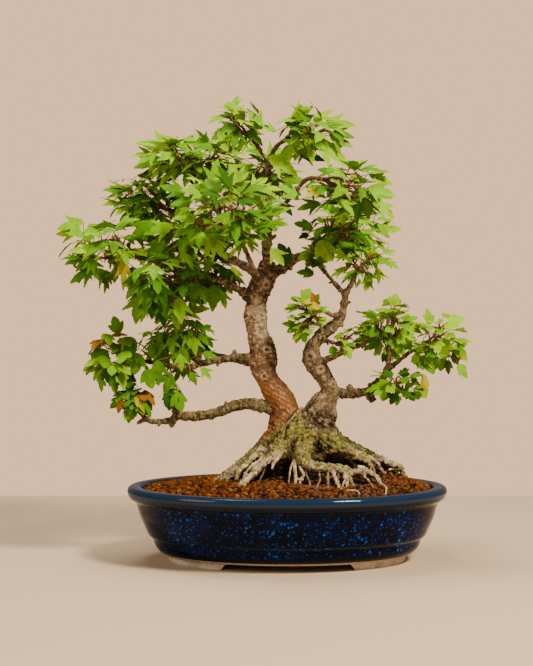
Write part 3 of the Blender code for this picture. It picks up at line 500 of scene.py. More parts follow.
# The bough's parent, its route, and its half thickness at either end.
BOUGHS = {
    "leader": ("trunk", ((-18, 5, 280.3), (-19, 5, 296), (-17.5, 5, 318), (-18, 5, 343), (-17, 5, 368),
        (-14, 5, 381)), 5.2, 2.0),
    "leader_left": ("leader", ((-17.5, 5, 363), (-20, 6, 374), (-27, 6, 387)), 2.0, 1.5),
    "bough_right_up": ("leader", ((-17, 5, 323), (-8, 0, 327), (2, -10, 338), (14, -22, 352)), 2.8, 1.7),
    "bough_crown_right": ("trunk", ((-19, 5, 270), (-4, 9, 274), (9, 13, 284), (24, 18, 290)), 5.0, 3.0),
    "bough_crown_left": ("trunk", ((-22, 5, 262), (-40, 0, 276), (-57, 0, 285), (-68, 1, 298),
        (-74, 3, 315), (-78, 4, 340)), 4.0, 1.8),
    "bough_left_upper": ("bough_crown_left", ((-69, 1, 299), (-84, 10, 311), (-98, 19, 322)), 2.5, 1.7),
    "bough_left_low": ("trunk", ((-27, 5, 248), (-44, -2, 253), (-60, -6, 261), (-90, -8, 268),
        (-128, -4, 281)), 3.8, 1.8),
    "bough_left_drop": ("bough_left_low", ((-72, -7, 264), (-82, -17, 264), (-90, -24, 262)), 2.2, 1.6),
    "bough_left_back": ("bough_left_low", ((-48, -3, 255), (-54, 7, 258), (-61, 15, 260)), 2.2, 1.6),
    "bough_front": ("trunk", ((-25, 5, 258), (-30, -14, 270), (-38, -32, 288)), 3.4, 1.9),
    "bough_back_top": ("leader", ((-18, 5, 306), (-22, 24, 320), (-27, 46, 340)), 2.9, 1.8),
    "bough_back_left": ("trunk", ((-29, 5, 238), (-44, 28, 252), (-66, 52, 274)), 3.8, 2.0),
    "bough_back_right": ("trunk", ((-24, 5, 256), (-10, 24, 268), (12, 44, 284), (36, 60, 300)), 3.6, 1.9),
    "bough_mid_left": ("trunk", ((-22, 5, 188), (-44, -2, 190), (-70, -6, 187), (-96, -9, 181),
        (-126, -13, 186)), 4.4, 2.0),
    "bough_mid_left_side": ("bough_mid_left", ((-80, -7, 185), (-88, -2, 192), (-94, 2, 198)), 2.8, 1.9),
    "bough_mid_back": ("trunk", ((-22, 5, 181), (-46, 26, 186), (-78, 48, 193)), 3.8, 1.9),
    "bough_low_left": ("trunk", ((-4, 5, 138), (-30, -1, 146), (-44, -3, 146), (-55, -4, 143),
        (-67, -6, 138), (-90, -9, 135), (-101, -10, 137), (-105, -10, 143)), 5.6, 3.6),
    "bough_low_tip": ("bough_low_left", ((-98, -9, 136), (-112, -10, 131), (-128, -11, 131),
        (-135, -12, 137)), 3.2, 1.9),
    "bough_right": ("second_trunk", ((39, 0, 159), (56, 0, 156), (73, -5, 158), (84, -8, 164),
        (91, -11, 175), (94, -14, 187)), 5.0, 2.4),
    "bough_right_outer": ("bough_right", ((91.5, -12, 177), (103, -15, 187), (117, -18, 198)), 2.7, 1.7),
    "bough_right_low": ("bough_right", ((79, -6, 161), (85, -16, 161), (90, -21, 163)), 2.6, 1.7),
    "bough_right_back": ("second_trunk", ((26, 0, 183), (44, 20, 190), (68, 38, 200)), 3.8, 1.9),
    "second_left": ("second_trunk", ((55, 0, 248), (46, 5, 258), (36, 10, 270)), 2.4, 1.6),
    "bough_middle": ("second_trunk", ((51, 0, 231), (42, -10, 230), (33, -16, 234)), 2.4, 1.6),
    "bough_small_right": ("second_trunk", ((31, 0, 209), (38, -10, 206), (46, -14, 203)), 2.2, 1.5),
}
# Stubs of pruned shoots: both ends, and half thickness at either end.
STUBS = (
    ((-105, -9, 136), (-108, -12, 126), 3.2, 2.4), ((-58, -6, 142), (-57, -10, 150), 2.4, 1.6),
    ((-83, -9, 135), (-82, -14, 140), 2.6, 1.8), ((-132, -12, 133), (-140, -12, 129), 2.0, 1.5),
    ((-118, -11, 131), (-120, -14, 126), 1.6, 1.2), ((75, -5, 158), (80, -8, 149), 4.0, 3.4),
    ((62, -1, 157), (57, -3, 164), 3.2, 2.4), ((79, -7, 160), (76, -12, 166), 2.6, 1.6),
    ((-50, -3, 190), (-49, -5, 197), 2.2, 1.5), ((-34, 1, 189), (-34, -5, 183), 2.8, 2.0),
    ((-64, -5, 188), (-65, -9, 182), 2.0, 1.4), ((2, 11, 279), (4, 8, 272), 2.2, 1.6),
    ((-18, 5, 300), (-10, 3, 305), 2.2, 1.4), ((-18, 5, 332), (-26, 3, 337), 1.7, 1.2),
    ((-15, 3, 262), (-3, -4, 272), 2.4, 1.4), ((47, 0, 223), (52, -5, 219), 2.2, 1.4),
    ((54, 0, 240), (60, -4, 243), 1.7, 1.1), ((-30, 3, 224), (-39, 0, 227), 4.5, 2.6),
    ((36, -1, 212), (31, -6, 218), 2.2, 1.3),
)
# Numbers of the lines that run through the wood: trunk, second trunk, shoulder, roots, boughs.
TRUNK, SECOND_TRUNK, SHOULDER, FIRST_ROOT = range(4)
FIRST_BOUGH = FIRST_ROOT + len(ROOTS)
# Scars of old cuts: middle, radius, how far the ring and the lump stand, and how orange it is.
SCARS = (
    ((-19, -7, 198), 4.3, 1.6, 0.8, 0.2), ((-21.5, -6, 172.5), 3.8, 1.2, 1.8, 0.6),
    ((-32, -4, 202), 4.2, 0.1, 1.0, 1.0), ((-37, 0, 229), 4.4, 0.9, 1.6, 0.3),
    ((31, -8, 179), 4.4, 1.2, 1.0, 1.0), ((22, -8, 191), 4.8, 0.8, 2.2, 0.0),
    ((-20, -5, 258), 4.4, 0.8, 1.4, 0.8), ((-31, -4, 247), 3.2, 0.6, 0.8, 0.4),
    ((-26, -6, 186), 5.5, 0.0, 1.6, 0.3), ((-14, 13, 214), 4.5, 1.1, 1.0, 0.4),
    ((-18, 16, 180), 4.0, 1.0, 1.0, 0.6), ((-25, 15, 244), 3.8, 0.8, 0.8, 0.5),
    ((30, 9, 186), 4.0, 1.0, 1.2, 0.3), ((43, -7, 165), 3.4, 0.6, 0.8, 0.1),
    ((-22.6, -7, 179), 13.0, 3.0, 0.0, 0.6), ((-12, -7, 186), 3.0, 0.6, 0.6, 0.5),
    ((-86, -13, 137), 2.4, 0.6, 0.5, 0.9), ((-71, -10, 140), 2.2, 0.5, 0.6, 0.2),
)
# A scar larger than this is a bulge, of which only the lower edge shows.
BULGE = 10
# The fork, where the orange trunk and the mossy base meet: its sides, and its level and slope.
FORK_LEFT, FORK_RIGHT = 2, 13
FORK_LEVEL = 131.4
FORK_SLOPE = 1.1
# Heights between which each kind of bark begins or ends.
ORANGE_END = (182, 172)
PALE_BEGIN, PALE_END = (200, 207), (243, 236)
CRUSTY_END = (206, 198)
OLIVE_END = (275, 235)
# Heights over which the painted shade in the base's hollows fades in.
HOLLOW_SHADE_BEGIN = (104, 92)
WOOD_SHARES = ("dark_and_painted_shade", "moss", "scar", "orange", "pale_and_painted_light")


def tube(samples, sides):
    """Corners and faces of a closed tube round samples (x, y, z, half thickness)."""
    centres = [Vector(s[:3]) for s in samples]
    corners = []
    side = None
    for i, centre in enumerate(centres):
        tangent = (centres[min(i + 1, len(centres) - 1)] - centres[max(i - 1, 0)]).normalized()
        side = tangent.orthogonal() if side is None else side - tangent * side.dot(tangent)
        side.normalize()
        up = tangent.cross(side)
        corners += [centre + samples[i][3] * (c * side + s * up) for c, s in circle(sides)]
    return corners, ring_faces(sides, len(samples))


def limb_stations(name):
    """Stations (x, y, z, half thickness) of a trunk or bough."""
    if name in ("trunk", "second_trunk"):
        return TRUNK_ROUTE if name == "trunk" else SECOND_ROUTE
    _, points, thick, thin = BOUGHS[name]
    last = len(points) - 1
    return [(*p, thick + (thin - thick) * i / last) for i, p in enumerate(points)]


def fused(verts, faces):
    """One closed form round overlapping solids, as a mesh of even faces."""
    mesh = bpy.data.meshes.new("wood")
    mesh.from_pydata(verts, [], faces)
    holder = bpy.data.objects.new("wood", mesh)
    bpy.context.scene.collection.objects.link(holder)
    remesh = holder.modifiers.new("fuse", "REMESH")
    remesh.mode = "VOXEL"
    remesh.voxel_size = WOOD_VOXEL
    melt = holder.modifiers.new("melt", "SMOOTH")
    melt.factor = 0.5
    melt.iterations = 3
    made = bpy.data.meshes.new_from_object(holder.evaluated_get(bpy.context.evaluated_depsgraph_get()))
    bpy.data.objects.remove(holder)
    bpy.data.meshes.remove(mesh)
    return made


def soft_step(value, low, high):
    """0 up to low, 1 from high, and a smooth climb between them."""
    share = min(1.0, max(0.0, (value - low) / (high - low)))
    return share * share * (3 - 2 * share)


def bell(away, width):
    """1 where nothing is away, falling off smoothly on both sides."""
    return math.exp(-(away / width) ** 2)


def crust(at, fineness):
    """Bark plates: 1 on a plate's middle and 0 in the crack round it, and the plate's own tone."""
    bent = at + 2.4 * noise.noise_vector(at * 0.16) + 1.3 * noise.noise_vector(at * 0.5)
    near, middles = noise.voronoi(Vector((bent.x, bent.y, bent.z * 0.62)) * 0.24 * fineness)
    worn = soft_step(noise.noise(at * 0.12 + Vector((7, 3, 1))), 0.05, 0.5)
    plate = min(1.0, (near[1] - near[0]) * 2.2)
    return plate + (1 - plate) * worn, 0.5 + 0.5 * noise.noise(middles[0] * 3.7)


def base_line(x):
    """Height of the line where the mossy base ends, which climbs to the fork and falls behind it."""
    if x < FORK_LEFT:
        return 117 + 0.72 * (x + 18)
    return FORK_LEVEL + FORK_SLOPE * (x - FORK_LEFT) if x < FORK_RIGHT else max(122, 134 - (x - FORK_RIGHT))


def base_share(at):
    """1 on the mossy root base and 0 on both trunks over it."""
    return soft_step(at.z - base_line(at.x) + 3.5 * noise.noise(at * 0.13), 2.2, -2.2)


def nearest_line(at):
    """Half thickness, place along and number of the line whose wood lies nearest, and how far away."""
    best = None
    for lines, facts in wood_lines:
        _, i, away = lines.find(at)
        radius, along, number = facts[i]
        if best is None or away - radius < best[3]:
            best = (radius, along, number, away - radius)
    return best


def wood_rule(at, facing):
    """Relief in mm, then the shares of dark bark and painted shade, moss, scar, orange, and bleached bark and
    painted light at a place on the wood.
    """
    radius, along, number, clear = nearest_line(at)
    low_wood = number < FIRST_BOUGH
    on_base = base_share(at) if low_wood else 0.0
    on_orange = 0.0
    if low_wood and at.x < FORK_RIGHT and number != SECOND_TRUNK:
        on_orange = (1 - on_base) * soft_step(at.z + 6 * noise.noise(at * 0.12), *ORANGE_END)
    rough = max(0.0, 1 - on_base - on_orange)
    fine = noise.fractal(at * 0.5, 0.9, 2.1, 3)
    lumps = noise.fractal(at * 0.13, 0.9, 2.1, 3)
    moss = warm = edge = scar = 0.0

    # Grey bark cracks into plates, finer ones on thin limbs, with painted shade in the cracks, and single
    # plates are bleached.
    girth = min(1.0, radius / 10)
    plate, tone = crust(at, 1.55 - 0.55 * girth)
    relief = rough * (0.35 + 0.65 * girth) * (1.25 * (plate - 0.6) + 0.65 * fine + 0.8 * lumps
                                              + 0.9 * (tone - 0.5))
    dark_and_painted_shade = rough * (1 - plate)
    pale_and_painted_light = rough * soft_step(tone + 0.25 * fine, 0.3, 0.72)

    # The second trunk and the boughs are filmed with green, most of all the low boughs.
    if number in (SECOND_TRUNK, SHOULDER) or not low_wood:
        olive = 0.2 if low_wood else 0.7 * soft_step(at.z, *OLIVE_END)
        dark_and_painted_shade = max(dark_and_painted_shade, 0.55 * olive * rough)
        moss = rough * olive * soft_step(noise.noise(at * 0.25), -0.6, 0.3)
        pale_and_painted_light *= 0.55 - 0.3 * olive
        dark_and_painted_shade *= 0.7 if number == SECOND_TRUNK else 1.0

    # The main trunk is pale and smooth at half height, dark and crusty below, warm at its head.
    if number == TRUNK:
        smooth = soft_step(at.z, *PALE_BEGIN) * soft_step(at.z, *PALE_END)
        dark_and_painted_shade *= 1 - 0.5 * smooth
        head = soft_step(at.z, 240, 248)
        pale_and_painted_light = max(pale_and_painted_light, 0.7 * smooth) * (1 - 0.4 * head)
        low = soft_step(at.z, *CRUSTY_END)
        dark_and_painted_shade = max(dark_and_painted_shade, 0.75 * rough * low * soft_step(fine + 0.6 * lumps, 0.1, -0.4))
        warm = 0.55 * low + 0.3 * head

    # Thin limbs are knotty, and ringed where buds were.
    if radius < 7 and rough > 0:
        knot = soft_step(noise.noise(Vector((along * 0.16, number * 5.3, 0))), 0.1, 0.55)
        ring = math.exp(-((along + 1.5 * lumps) % 6.5 - 3) ** 2 / 0.8)
        relief += radius * (0.24 * knot + 0.09 * ring + 0.12 * lumps)
        dark_and_painted_shade *= 1 - 0.5 * ring
        pale_and_painted_light = max(pale_and_painted_light, 0.3 * ring)

    # Orange bark is smooth with slanting wrinkles, streaked pale, and peels at its foot. Painted shade
    # darkens its wrinkles, its cracks and the side facing +X, and a painted highlight runs down the middle
    # that faces the front.
    if on_orange > 0:
        wrinkle = math.sin(at.z * 1.35 + 0.75 * at.x + 2.6 * lumps + 1.2 * fine)
        streak = noise.fractal(Vector((at.x * 0.45, at.y * 0.45, at.z * 0.16)), 0.9, 2.1, 3)
        peeling = soft_step(at.x + 4 * fine, -8, -14) * soft_step(at.z, 146, 136)
        shade = soft_step(facing.x + 0.2 * streak, 0.2, 0.8) * soft_step(at.z, 138, 150)
        relief += on_orange * (0.2 * wrinkle + 0.25 * fine + 0.6 * lumps + 0.7 * peeling * (plate - 0.5))
        dark_and_painted_shade += on_orange * max(0.35 * soft_step(wrinkle + 0.6 * streak, 0.0, -1.1),
                                  peeling * (1 - plate), 0.55 * shade)
        pale_and_painted_light += on_orange * soft_step(streak + 0.35 * wrinkle + 0.55 * bell(facing.x - 0.15, 0.3), 0.25, 0.85)

    # At the fork the base's bark stands up as a pale lip in front of the orange trunk, with a painted shadow
    # line just above it.
    if -1 < at.x < 14 and at.y < 4:
        above = (at.z - FORK_LEVEL - FORK_SLOPE * (at.x - FORK_LEFT)) / 1.49
        edge = bell(above + 0.5, 0.9)
        relief += 1.3 * soft_step(above, 1.0, -0.4) * soft_step(above, -8, -2)
        dark_and_painted_shade = max(dark_and_painted_shade, 0.9 * bell(above - 1.6, 0.8))
        pale_and_painted_light += 1.2 * edge

    # Under the second trunk the shoulder's bark is pressed into folds, with painted shade in their troughs.
    folds = (soft_step(at.x, 22, 32) * soft_step(at.z, 114, 121) * soft_step(at.z, 141, 134)
             * soft_step(at.y, 12, 6))
    if folds > 0 and low_wood:
        fold = math.sin(1.25 * at.z + 0.85 * at.x + 3.2 * lumps + fine)
        relief += folds * 0.4 * fold
        dark_and_painted_shade += folds * 0.7 * soft_step(fold, -0.3, -1.0)

    # The base is fluted and pitted and mossy on top. Painted shade darkens its flutes and pits, the hollows
    # between its roots and the undersides of its roots. Its thin roots are pale on their upper sides, partly
    # bare wood and partly a painted highlight.
    if on_base > 0:
        angle = math.atan2(at.y - 2, at.x - 16)
        flute = noise.ridged_multi_fractal(
            Vector((math.cos(angle) * 5.2, math.sin(angle) * 5.2, at.z * 0.05)), 1.0, 2.0, 3, 1.0, 2.0)
        pits = noise.fractal(at * 0.33, 0.75, 2.2, 4)
        thin = soft_step(radius, 8, 3)
        relief += on_base * (1 - 0.6 * thin) * (1.3 * (flute - 1.1) + 1.3 * pits + 0.6 * fine)
        relief += on_base * thin * (0.26 * radius * pits + 0.35 * fine)
        dark_and_painted_shade += on_base * (1 - 0.7 * thin) * soft_step(flute + 0.8 * pits + 0.3 * fine, 1.0, 0.25)
        pale_and_painted_light += on_base * min(1.0, thin * soft_step(facing.z + 0.6 * fine, -0.6, 0.35)
                              + soft_step(flute + pits + fine, 1.9, 2.9))
        # Painted shade in the hollows between the roots and on the roots' undersides.
        hollow = soft_step(clear if number >= FIRST_ROOT else 4.0, 0.8, 3.6) * soft_step(at.z, *HOLLOW_SHADE_BEGIN)
        under = 0.75 * soft_step(facing.z, -0.25, -0.7) * soft_step(at.z, 104, 94)
        dark_and_painted_shade = max(dark_and_painted_shade, 0.92 * on_base * max(hollow, under))
        moss = on_base * soft_step(noise.fractal(at * 0.09, 0.8, 2.1, 4) + 0.3 * facing.z
                                   + 0.02 * (at.z - 95) - 0.12 * thin, -0.35, 0.35) * (1 - 0.75 * edge)

    # A scar is a hollow in a lump, with a rolled ring and a moat round it. Its hollow is painted dark as
    # shade, and so is the side of its moat that faces +X.
    for middle, size, stand, lump, warmth in SCARS:
        away = (at - Vector(middle)).length
        if away < 3 * size:
            away *= 1 + 0.3 * fine + 0.35 * lumps
            part = 1.0 if size < BULGE else soft_step(at.z - middle[2], 0, -5) / 3
            ring = part * bell(away - 0.75 * size, 0.28 * min(size, 6))
            moat = part * bell(away - 1.3 * size, 0.2 * min(size, 6))
            hollow = part * bell(away * (1 + 0.5 * fine), 0.32 * min(size, 5))
            near = part * bell(away, 1.15 * size)
            relief += stand * (ring - 1.5 * hollow - 0.5 * moat) + lump * near
            shade = 0.6 * stand * moat * soft_step(facing.x + fine, -0.2, 0.5)
            dark_and_painted_shade = max(dark_and_painted_shade * (1 - max(ring, near)), hollow, shade)
            scar = max(scar, min(0.85, 0.45 * stand * stand) * max(ring, 0.7 * near - hollow))
            on_orange = max(on_orange, warmth * near)
    on_orange = max(on_orange, warm * rough)
    return relief, min(1.0, dark_and_painted_shade), min(1.0, moss), min(1.0, scar), min(1.0, on_orange), min(1.0, pale_and_painted_light)


def carve(mesh, rule):
    """Moves each corner of a mesh in mm out along its normal, and keeps the shares that go with it."""
    count = len(mesh.vertices)
    places = np.empty(count * 3, dtype=np.float32)
    facings = np.empty(count * 3, dtype=np.float32)
    mesh.vertices.foreach_get("co", places)
    mesh.vertices.foreach_get("normal", facings)
    places, facings = places.reshape(-1, 3), facings.reshape(-1, 3)
    found = np.array([rule(Vector(p), Vector(f)) for p, f in zip(places, facings)], dtype=np.float32)
    places += facings * found[:, :1]
    mesh.vertices.foreach_set("co", (places * MM + np.array(POT_AXIS, dtype=np.float32)).ravel())
    for column, name in enumerate(WOOD_SHARES):
        mesh.attributes.new(name, "FLOAT", "POINT").data.foreach_set("value", found[:, column + 1].copy())
    mesh.update()


bark = Finish("bark_finish", 0.8)
share_of = {name: bark.add("Attribute", attribute_name=name).outputs["Fac"] for name in WOOD_SHARES}
flecks = bark.grain(260, 6, 0.75, low=0.34, high=0.6)
# The pale share bleaches the bark; on the orange trunk's middle and the thin roots' upper sides it is a
# painted highlight.
bleached_and_painted_light = bark.times(share_of["pale_and_painted_light"], flecks["Share"])
grey = bark.grain(70, 5, 0.65, light=(0.26, 0.165, 0.08, 1), dark=(0.11, 0.062, 0.025, 1))["Color"]
grey = bark.blend(bleached_and_painted_light, grey, (0.80, 0.60, 0.38, 1))
orange = bark.grain(70, 5, 0.65, light=(0.33, 0.13, 0.024, 1), dark=(0.17, 0.060, 0.010, 1))["Color"]
orange = bark.blend(bleached_and_painted_light, orange, (0.50, 0.27, 0.14, 1))
wood = bark.blend(share_of["orange"], grey, orange)
wood = bark.blend(share_of["scar"], wood, (0.62, 0.46, 0.30, 1))
dirt = bark.grain(480, 5, 0.7, low=0.5, high=0.72)
wood = bark.blend(bark.times(dirt["Share"], 0.6), wood, (0.05, 0.028, 0.011, 1))
mossy = bark.grain(330, 6, 0.75, low=0.38, high=0.56,
                   light=(0.052, 0.050, 0.006, 1), dark=(0.225, 0.205, 0.03, 1))
dusted_and_painted_light = bark.times(bark.grain(300, 6, 0.75, low=0.52, high=0.62)["Share"],
                    bark.step_up(share_of["pale_and_painted_light"], 0.0, 0.8, 0.4, 1.0))
mossy = bark.blend(dusted_and_painted_light, mossy["Color"], (0.80, 0.68, 0.32, 1))
wood = bark.blend(bark.times(share_of["moss"], 0.9), wood, mossy)
# The dark share turns the wood near black: partly darker bark, partly painted shade in cracks, creases,
# hollows and on undersides.
wood = bark.blend(share_of["dark_and_painted_shade"], wood, (0.012, 0.007, 0.003, 1))
bark.feed("Base Color", wood)
bark.feed("Roughness", bark.step_up(share_of["orange"], 0, 1, 0.85, 0.5))
bark.lift(bark.work_out("ADD", flecks["Height"], bark.times(dirt["Height"], 0.6)), 0.9, 1.0)

verts, faces = [], []
core = [Vector((x + wide * c, y + deep * s, height))
        for x, y, wide, deep, height in FLARE_RINGS for c, s in circle(FLARE_SIDES)]
add_part(verts, faces, core, ring_faces(FLARE_SIDES, len(FLARE_RINGS)))
trunk_lines, limb_lines = [], []
routes = [TRUNK_ROUTE, SECOND_ROUTE, SHOULDER_ROUTE, *ROOTS, *(limb_stations(name) for name in BOUGHS)]
for number, route in enumerate(routes):
    samples = curve_through(route, LINE_STEP)
    add_part(verts, faces, *tube(samples, TRUNK_SIDES if number < FIRST_ROOT else LIMB_SIDES))
    lines = trunk_lines if number < FIRST_ROOT else limb_lines
    lines += [(s[:3], (s[3], LINE_STEP * i, number)) for i, s in enumerate(samples)]
for start, end, thick, thin in STUBS:
    add_part(verts, faces, *tube(curve_through([(*start, thick), (*end, thin)], LINE_STEP), STUB_SIDES))
wood_lines = []
for lines in (trunk_lines, limb_lines):
    finder = KDTree(len(lines))
    for i, (place, _) in enumerate(lines):
        finder.insert(place, i)
    finder.balance()
    wood_lines.append((finder, [facts for _, facts in lines]))
# The bark plates are bent by a noise that starts anew with each run unless its seed is set.
noise.seed_set(BARK_SEED)
mesh = fused(verts, faces)
carve(mesh, wood_rule)
show(mesh, "wood_bark", [bark.material], replaced=["trunk", "second_trunk", *BOUGHS])


# Fine roots, one and a half to four millimetres thick, have pushed out of the big ones and hang
# down to the soil. Sun and water have peeled some to cream; the others have kept grey skin.
ROOTLET_STEP = 1.2
ROOTLET_SIDES = 8
ROOTLETS = (
    ((-5.6, -22, 103, 2.2), (-9.7, -33, 97.6, 1.8), (-12.9, -38, 94, 1.5), (-14.1, -40, 89, 0.8)),
    ((8.2, -28, 101, 1.4), (3.8, -40, 92.9, 1.1), (1.9, -43, 86.6, 0.9), (0.8, -46, 75, 0.8)),
    ((8.6, -28, 102, 2), (6.5, -42, 91.7, 1.7), (7, -46, 84.3, 1.5), (6.6, -51, 72, 1.2)),
    ((9.5, -28, 102, 1.8), (11.5, -43, 91.4, 1.4), (14.6, -47, 84.5, 1.2), (11.7, -48, 80.6, 1.2),
     (10.8, -52, 72, 1)),
    ((7, -46, 82, 1.4), (11, -48.5, 80.5, 1.1), (14, -50, 81, 0.9)),
    ((36.6, -49, 90, 1.6), (36.1, -57, 81.7, 1.3), (36.2, -63, 70, 1.1)),
    ((55.5, -51, 86, 1.9), (57.2, -57, 79.8, 1.6), (61.6, -63, 72, 1.1)),
    ((54.5, -52, 84, 1.1), (57.5, -58, 77, 0.9), (59.5, -62, 71, 0.8)),
    ((52, -56, 82, 0.9), (48.2, -66, 74.5, 0.8), (50.9, -71, 73.6, 0.8), (56, -72, 73.6, 0.8),
     (61.5, -72, 73.2, 0.8), (64.8, -75, 69, 0.7)),
    ((79.4, -44, 84, 1.1), (82.6, -52, 79, 1), (87.2, -59, 76, 0.9), (88.3, -65, 74.2, 0.9),
     (87, -71, 70, 0.7)),
    ((-52, -10, 80, 1.1), (-56, -20, 77, 0.9), (-57, -26, 71, 0.8)),
    ((-20, -30, 93, 0.9), (-22, -36, 86, 0.8), (-27, -42, 76, 0.8), (-28, -46, 70, 0.7)),
    ((16, -42, 92, 1.1), (17, -48, 85, 0.9), (20, -54, 78, 0.8), (19, -58, 70, 0.7)),
    ((28, -50, 88, 0.9), (29, -56, 82, 0.8), (26, -62, 75, 0.8), (27, -66, 69, 0.7)),
    ((46, -53, 87, 0.9), (45, -60, 80, 0.8), (47, -66, 74, 0.7), (46, -69, 69, 0.7)),
    ((104, 6, 87, 0.9), (110, 2, 82, 0.8), (112, -2, 75, 0.7), (115, -6, 68, 0.7)),
    ((40, 46, 86, 1.2), (46, 54, 79, 1), (50, 60, 70, 0.8)),
    ((0, 34, 94, 1.3), (-3, 46, 86, 1), (-2, 56, 76, 0.9), (-4, 60, 70, 0.8)),
    ((-44, 28, 86, 1.2), (-48, 38, 79, 1), (-50, 44, 70, 0.8)),
    ((74, 34, 87, 1.2), (80, 44, 79, 1), (84, 48, 70, 0.8)),
    ((28, 36, 94, 1.3), (24, 46, 86, 1), (26, 54, 76, 0.9), (24, 60, 70, 0.8)),
)
# Numbers of those that have kept their grey skin.
GREY_ROOTLETS = (5, 6, 7, 10, 11, 12, 13, 14, 15)
ROOTLET_SKINS = (("peeled_root_finish", (0.76, 0.60, 0.35, 1), (0.34, 0.22, 0.10, 1)),
                 ("grey_root_finish", (0.36, 0.27, 0.16, 1), (0.12, 0.08, 0.04, 1)))
ROOTLET_GREEN = (0.13, 0.13, 0.02, 1)

rootlet_finishes = []
for name, light, dark in ROOTLET_SKINS:
    root_skin = Finish(name, 0.75)
    skin = root_skin.grain(330, 5, 0.7, high=0.6, light=light, dark=dark)
    green = root_skin.times(root_skin.grain(90, 3, low=0.5)["Share"], 0.6)
    root_skin.feed("Base Color", root_skin.blend(green, skin["Color"], ROOTLET_GREEN))
    root_skin.lift(skin["Height"], 0.8, 0.5)
    rootlet_finishes.append(root_skin.material)

verts, faces, dealt = [], [], []
for number, route in enumerate(ROOTLETS):
    samples = [(x + 0.5 * noise.noise(Vector((x, y, z)) * 0.4),
                y + 0.5 * noise.noise(Vector((z, x, y)) * 0.4), z,
                r * (1 + 0.28 * noise.noise(Vector((x, y, z + 9 * number)) * 0.5)))
               for x, y, z, r in curve_through(route, ROOTLET_STEP)]
    dealt += [int(number in GREY_ROOTLETS)] * add_part(verts, faces, *tube(samples, ROOTLET_SIDES))
make_piece("rootlets", verts, faces, rootlet_finishes, dealt=dealt)


# Short spurs are left all along the boughs where shoots were pinched out, a few mm long.
SPURS_PER_BOUGH = 3
SPUR_STEP = 1.0
SPUR_SIDES = 6
SPUR_THICKNESS = (1.4, 1.1, 1.0)


def jitter(rng, size):
    """A small push in a random direction."""
    return Vector([rng.uniform(-size, size) for _ in range(3)])


rng = random.Random("spurs")
verts, faces = [], []
for name in BOUGHS:
    samples = curve_through(limb_stations(name), LINE_STEP)
    for _ in range(SPURS_PER_BOUGH):
        i = rng.randrange(len(samples) // 4, len(samples) - 1)
        centre, radius = Vector(samples[i][:3]), samples[i][3]
        along = (Vector(samples[i + 1][:3]) - centre).normalized()
        out = along.cross(Vector([rng.gauss(0, 1) for _ in range(3)])).normalized()
        out += along * rng.uniform(0.2, 0.8)
        start = centre + out.normalized() * radius * 0.5
        end = start + out.normalized() * rng.uniform(2.5, 4.5)
        bend = (start + end) / 2 + jitter(rng, 0.7)
        route = [(*place, thickness) for place, thickness in zip((start, bend, end), SPUR_THICKNESS)]
        add_part(verts, faces, *tube(curve_through(route, SPUR_STEP), SPUR_SIDES))
spur_bark = grained("spur_finish", 0.85, (0.7, 0.4), 420, 5,
                    light=(0.20, 0.12, 0.055, 1), dark=(0.07, 0.038, 0.016, 1))
make_piece("spurs", verts, faces, [spur_bark])


# Moss sits in low cushions on the oldest roots and where the soil stays damp in their shade.
CUSHION_FLATNESS = 0.6
# Of each patch: its middle, its reach, and how many cushions it has.
MOSS_SPOTS = (
    ((-62, -14, 77), 5, 9), ((-66, -8, 75), 4.5, 8), ((-54, -20, 75.5), 5, 8), ((-12, -44, 75.5), 7, 14),
    ((0, -34, 77), 7, 12), ((-24, -52, 75), 5, 8), ((104, 4, 84), 3.5, 5), ((84, -34, 77), 5, 7),
    ((60, -58, 76), 5, 8), ((22, -60, 75.5), 6, 6), ((40, 40, 79), 7, 10), ((-30, 34, 78), 7, 10),
    ((70, 40, 77), 6, 8), ((6, -60, 75.5), 5, 5), ((30, -30, 84), 7, 8), ((52, -36, 82), 6, 7),
)

moss_green = grained("moss_finish", 0.95, (1.0, 0.8), 700, 4, 0.8,
                     light=(0.025, 0.035, 0.003, 1), dark=(0.15, 0.145, 0.016, 1))
rng = random.Random("moss")
round_corners, round_faces = ball(2)
verts, faces = [], []
for (x, y, z), reach, count in MOSS_SPOTS:
    for _ in range(count):
        size = rng.uniform(0.8, 2.1)
        middle = Vector((x + rng.gauss(0, reach * 0.5), y + rng.gauss(0, reach * 0.5),
                         z + rng.uniform(-1.6, 0.6)))
        corners = [middle + Vector((p.x, p.y, CUSHION_FLATNESS * p.z)) * size
                   * (1 + 0.3 * noise.noise(p * 2.2 + middle)) for p in round_corners]
        add_part(verts, faces, corners, round_faces)
make_piece("moss_cushions", verts, faces, [moss_green])


# The leaf masses: from each bough's tip or trunk's top a stem grows on, forks into twigs and
# these into fine shoots, which bear leaves in opposite pairs on long reddish stalks. A leaf is
# a thin blade with three pointed lobes, folded along its veins and toothed at its edge.
SHOOTS_PER_TWIG = 4
NODE_SPACING = 2.6
TWIG_TRIES = 8
LEAF_TRIES = 22
HEADING_STEP = 13
GOLDEN_ANGLE = math.pi * (3 - math.sqrt(5))
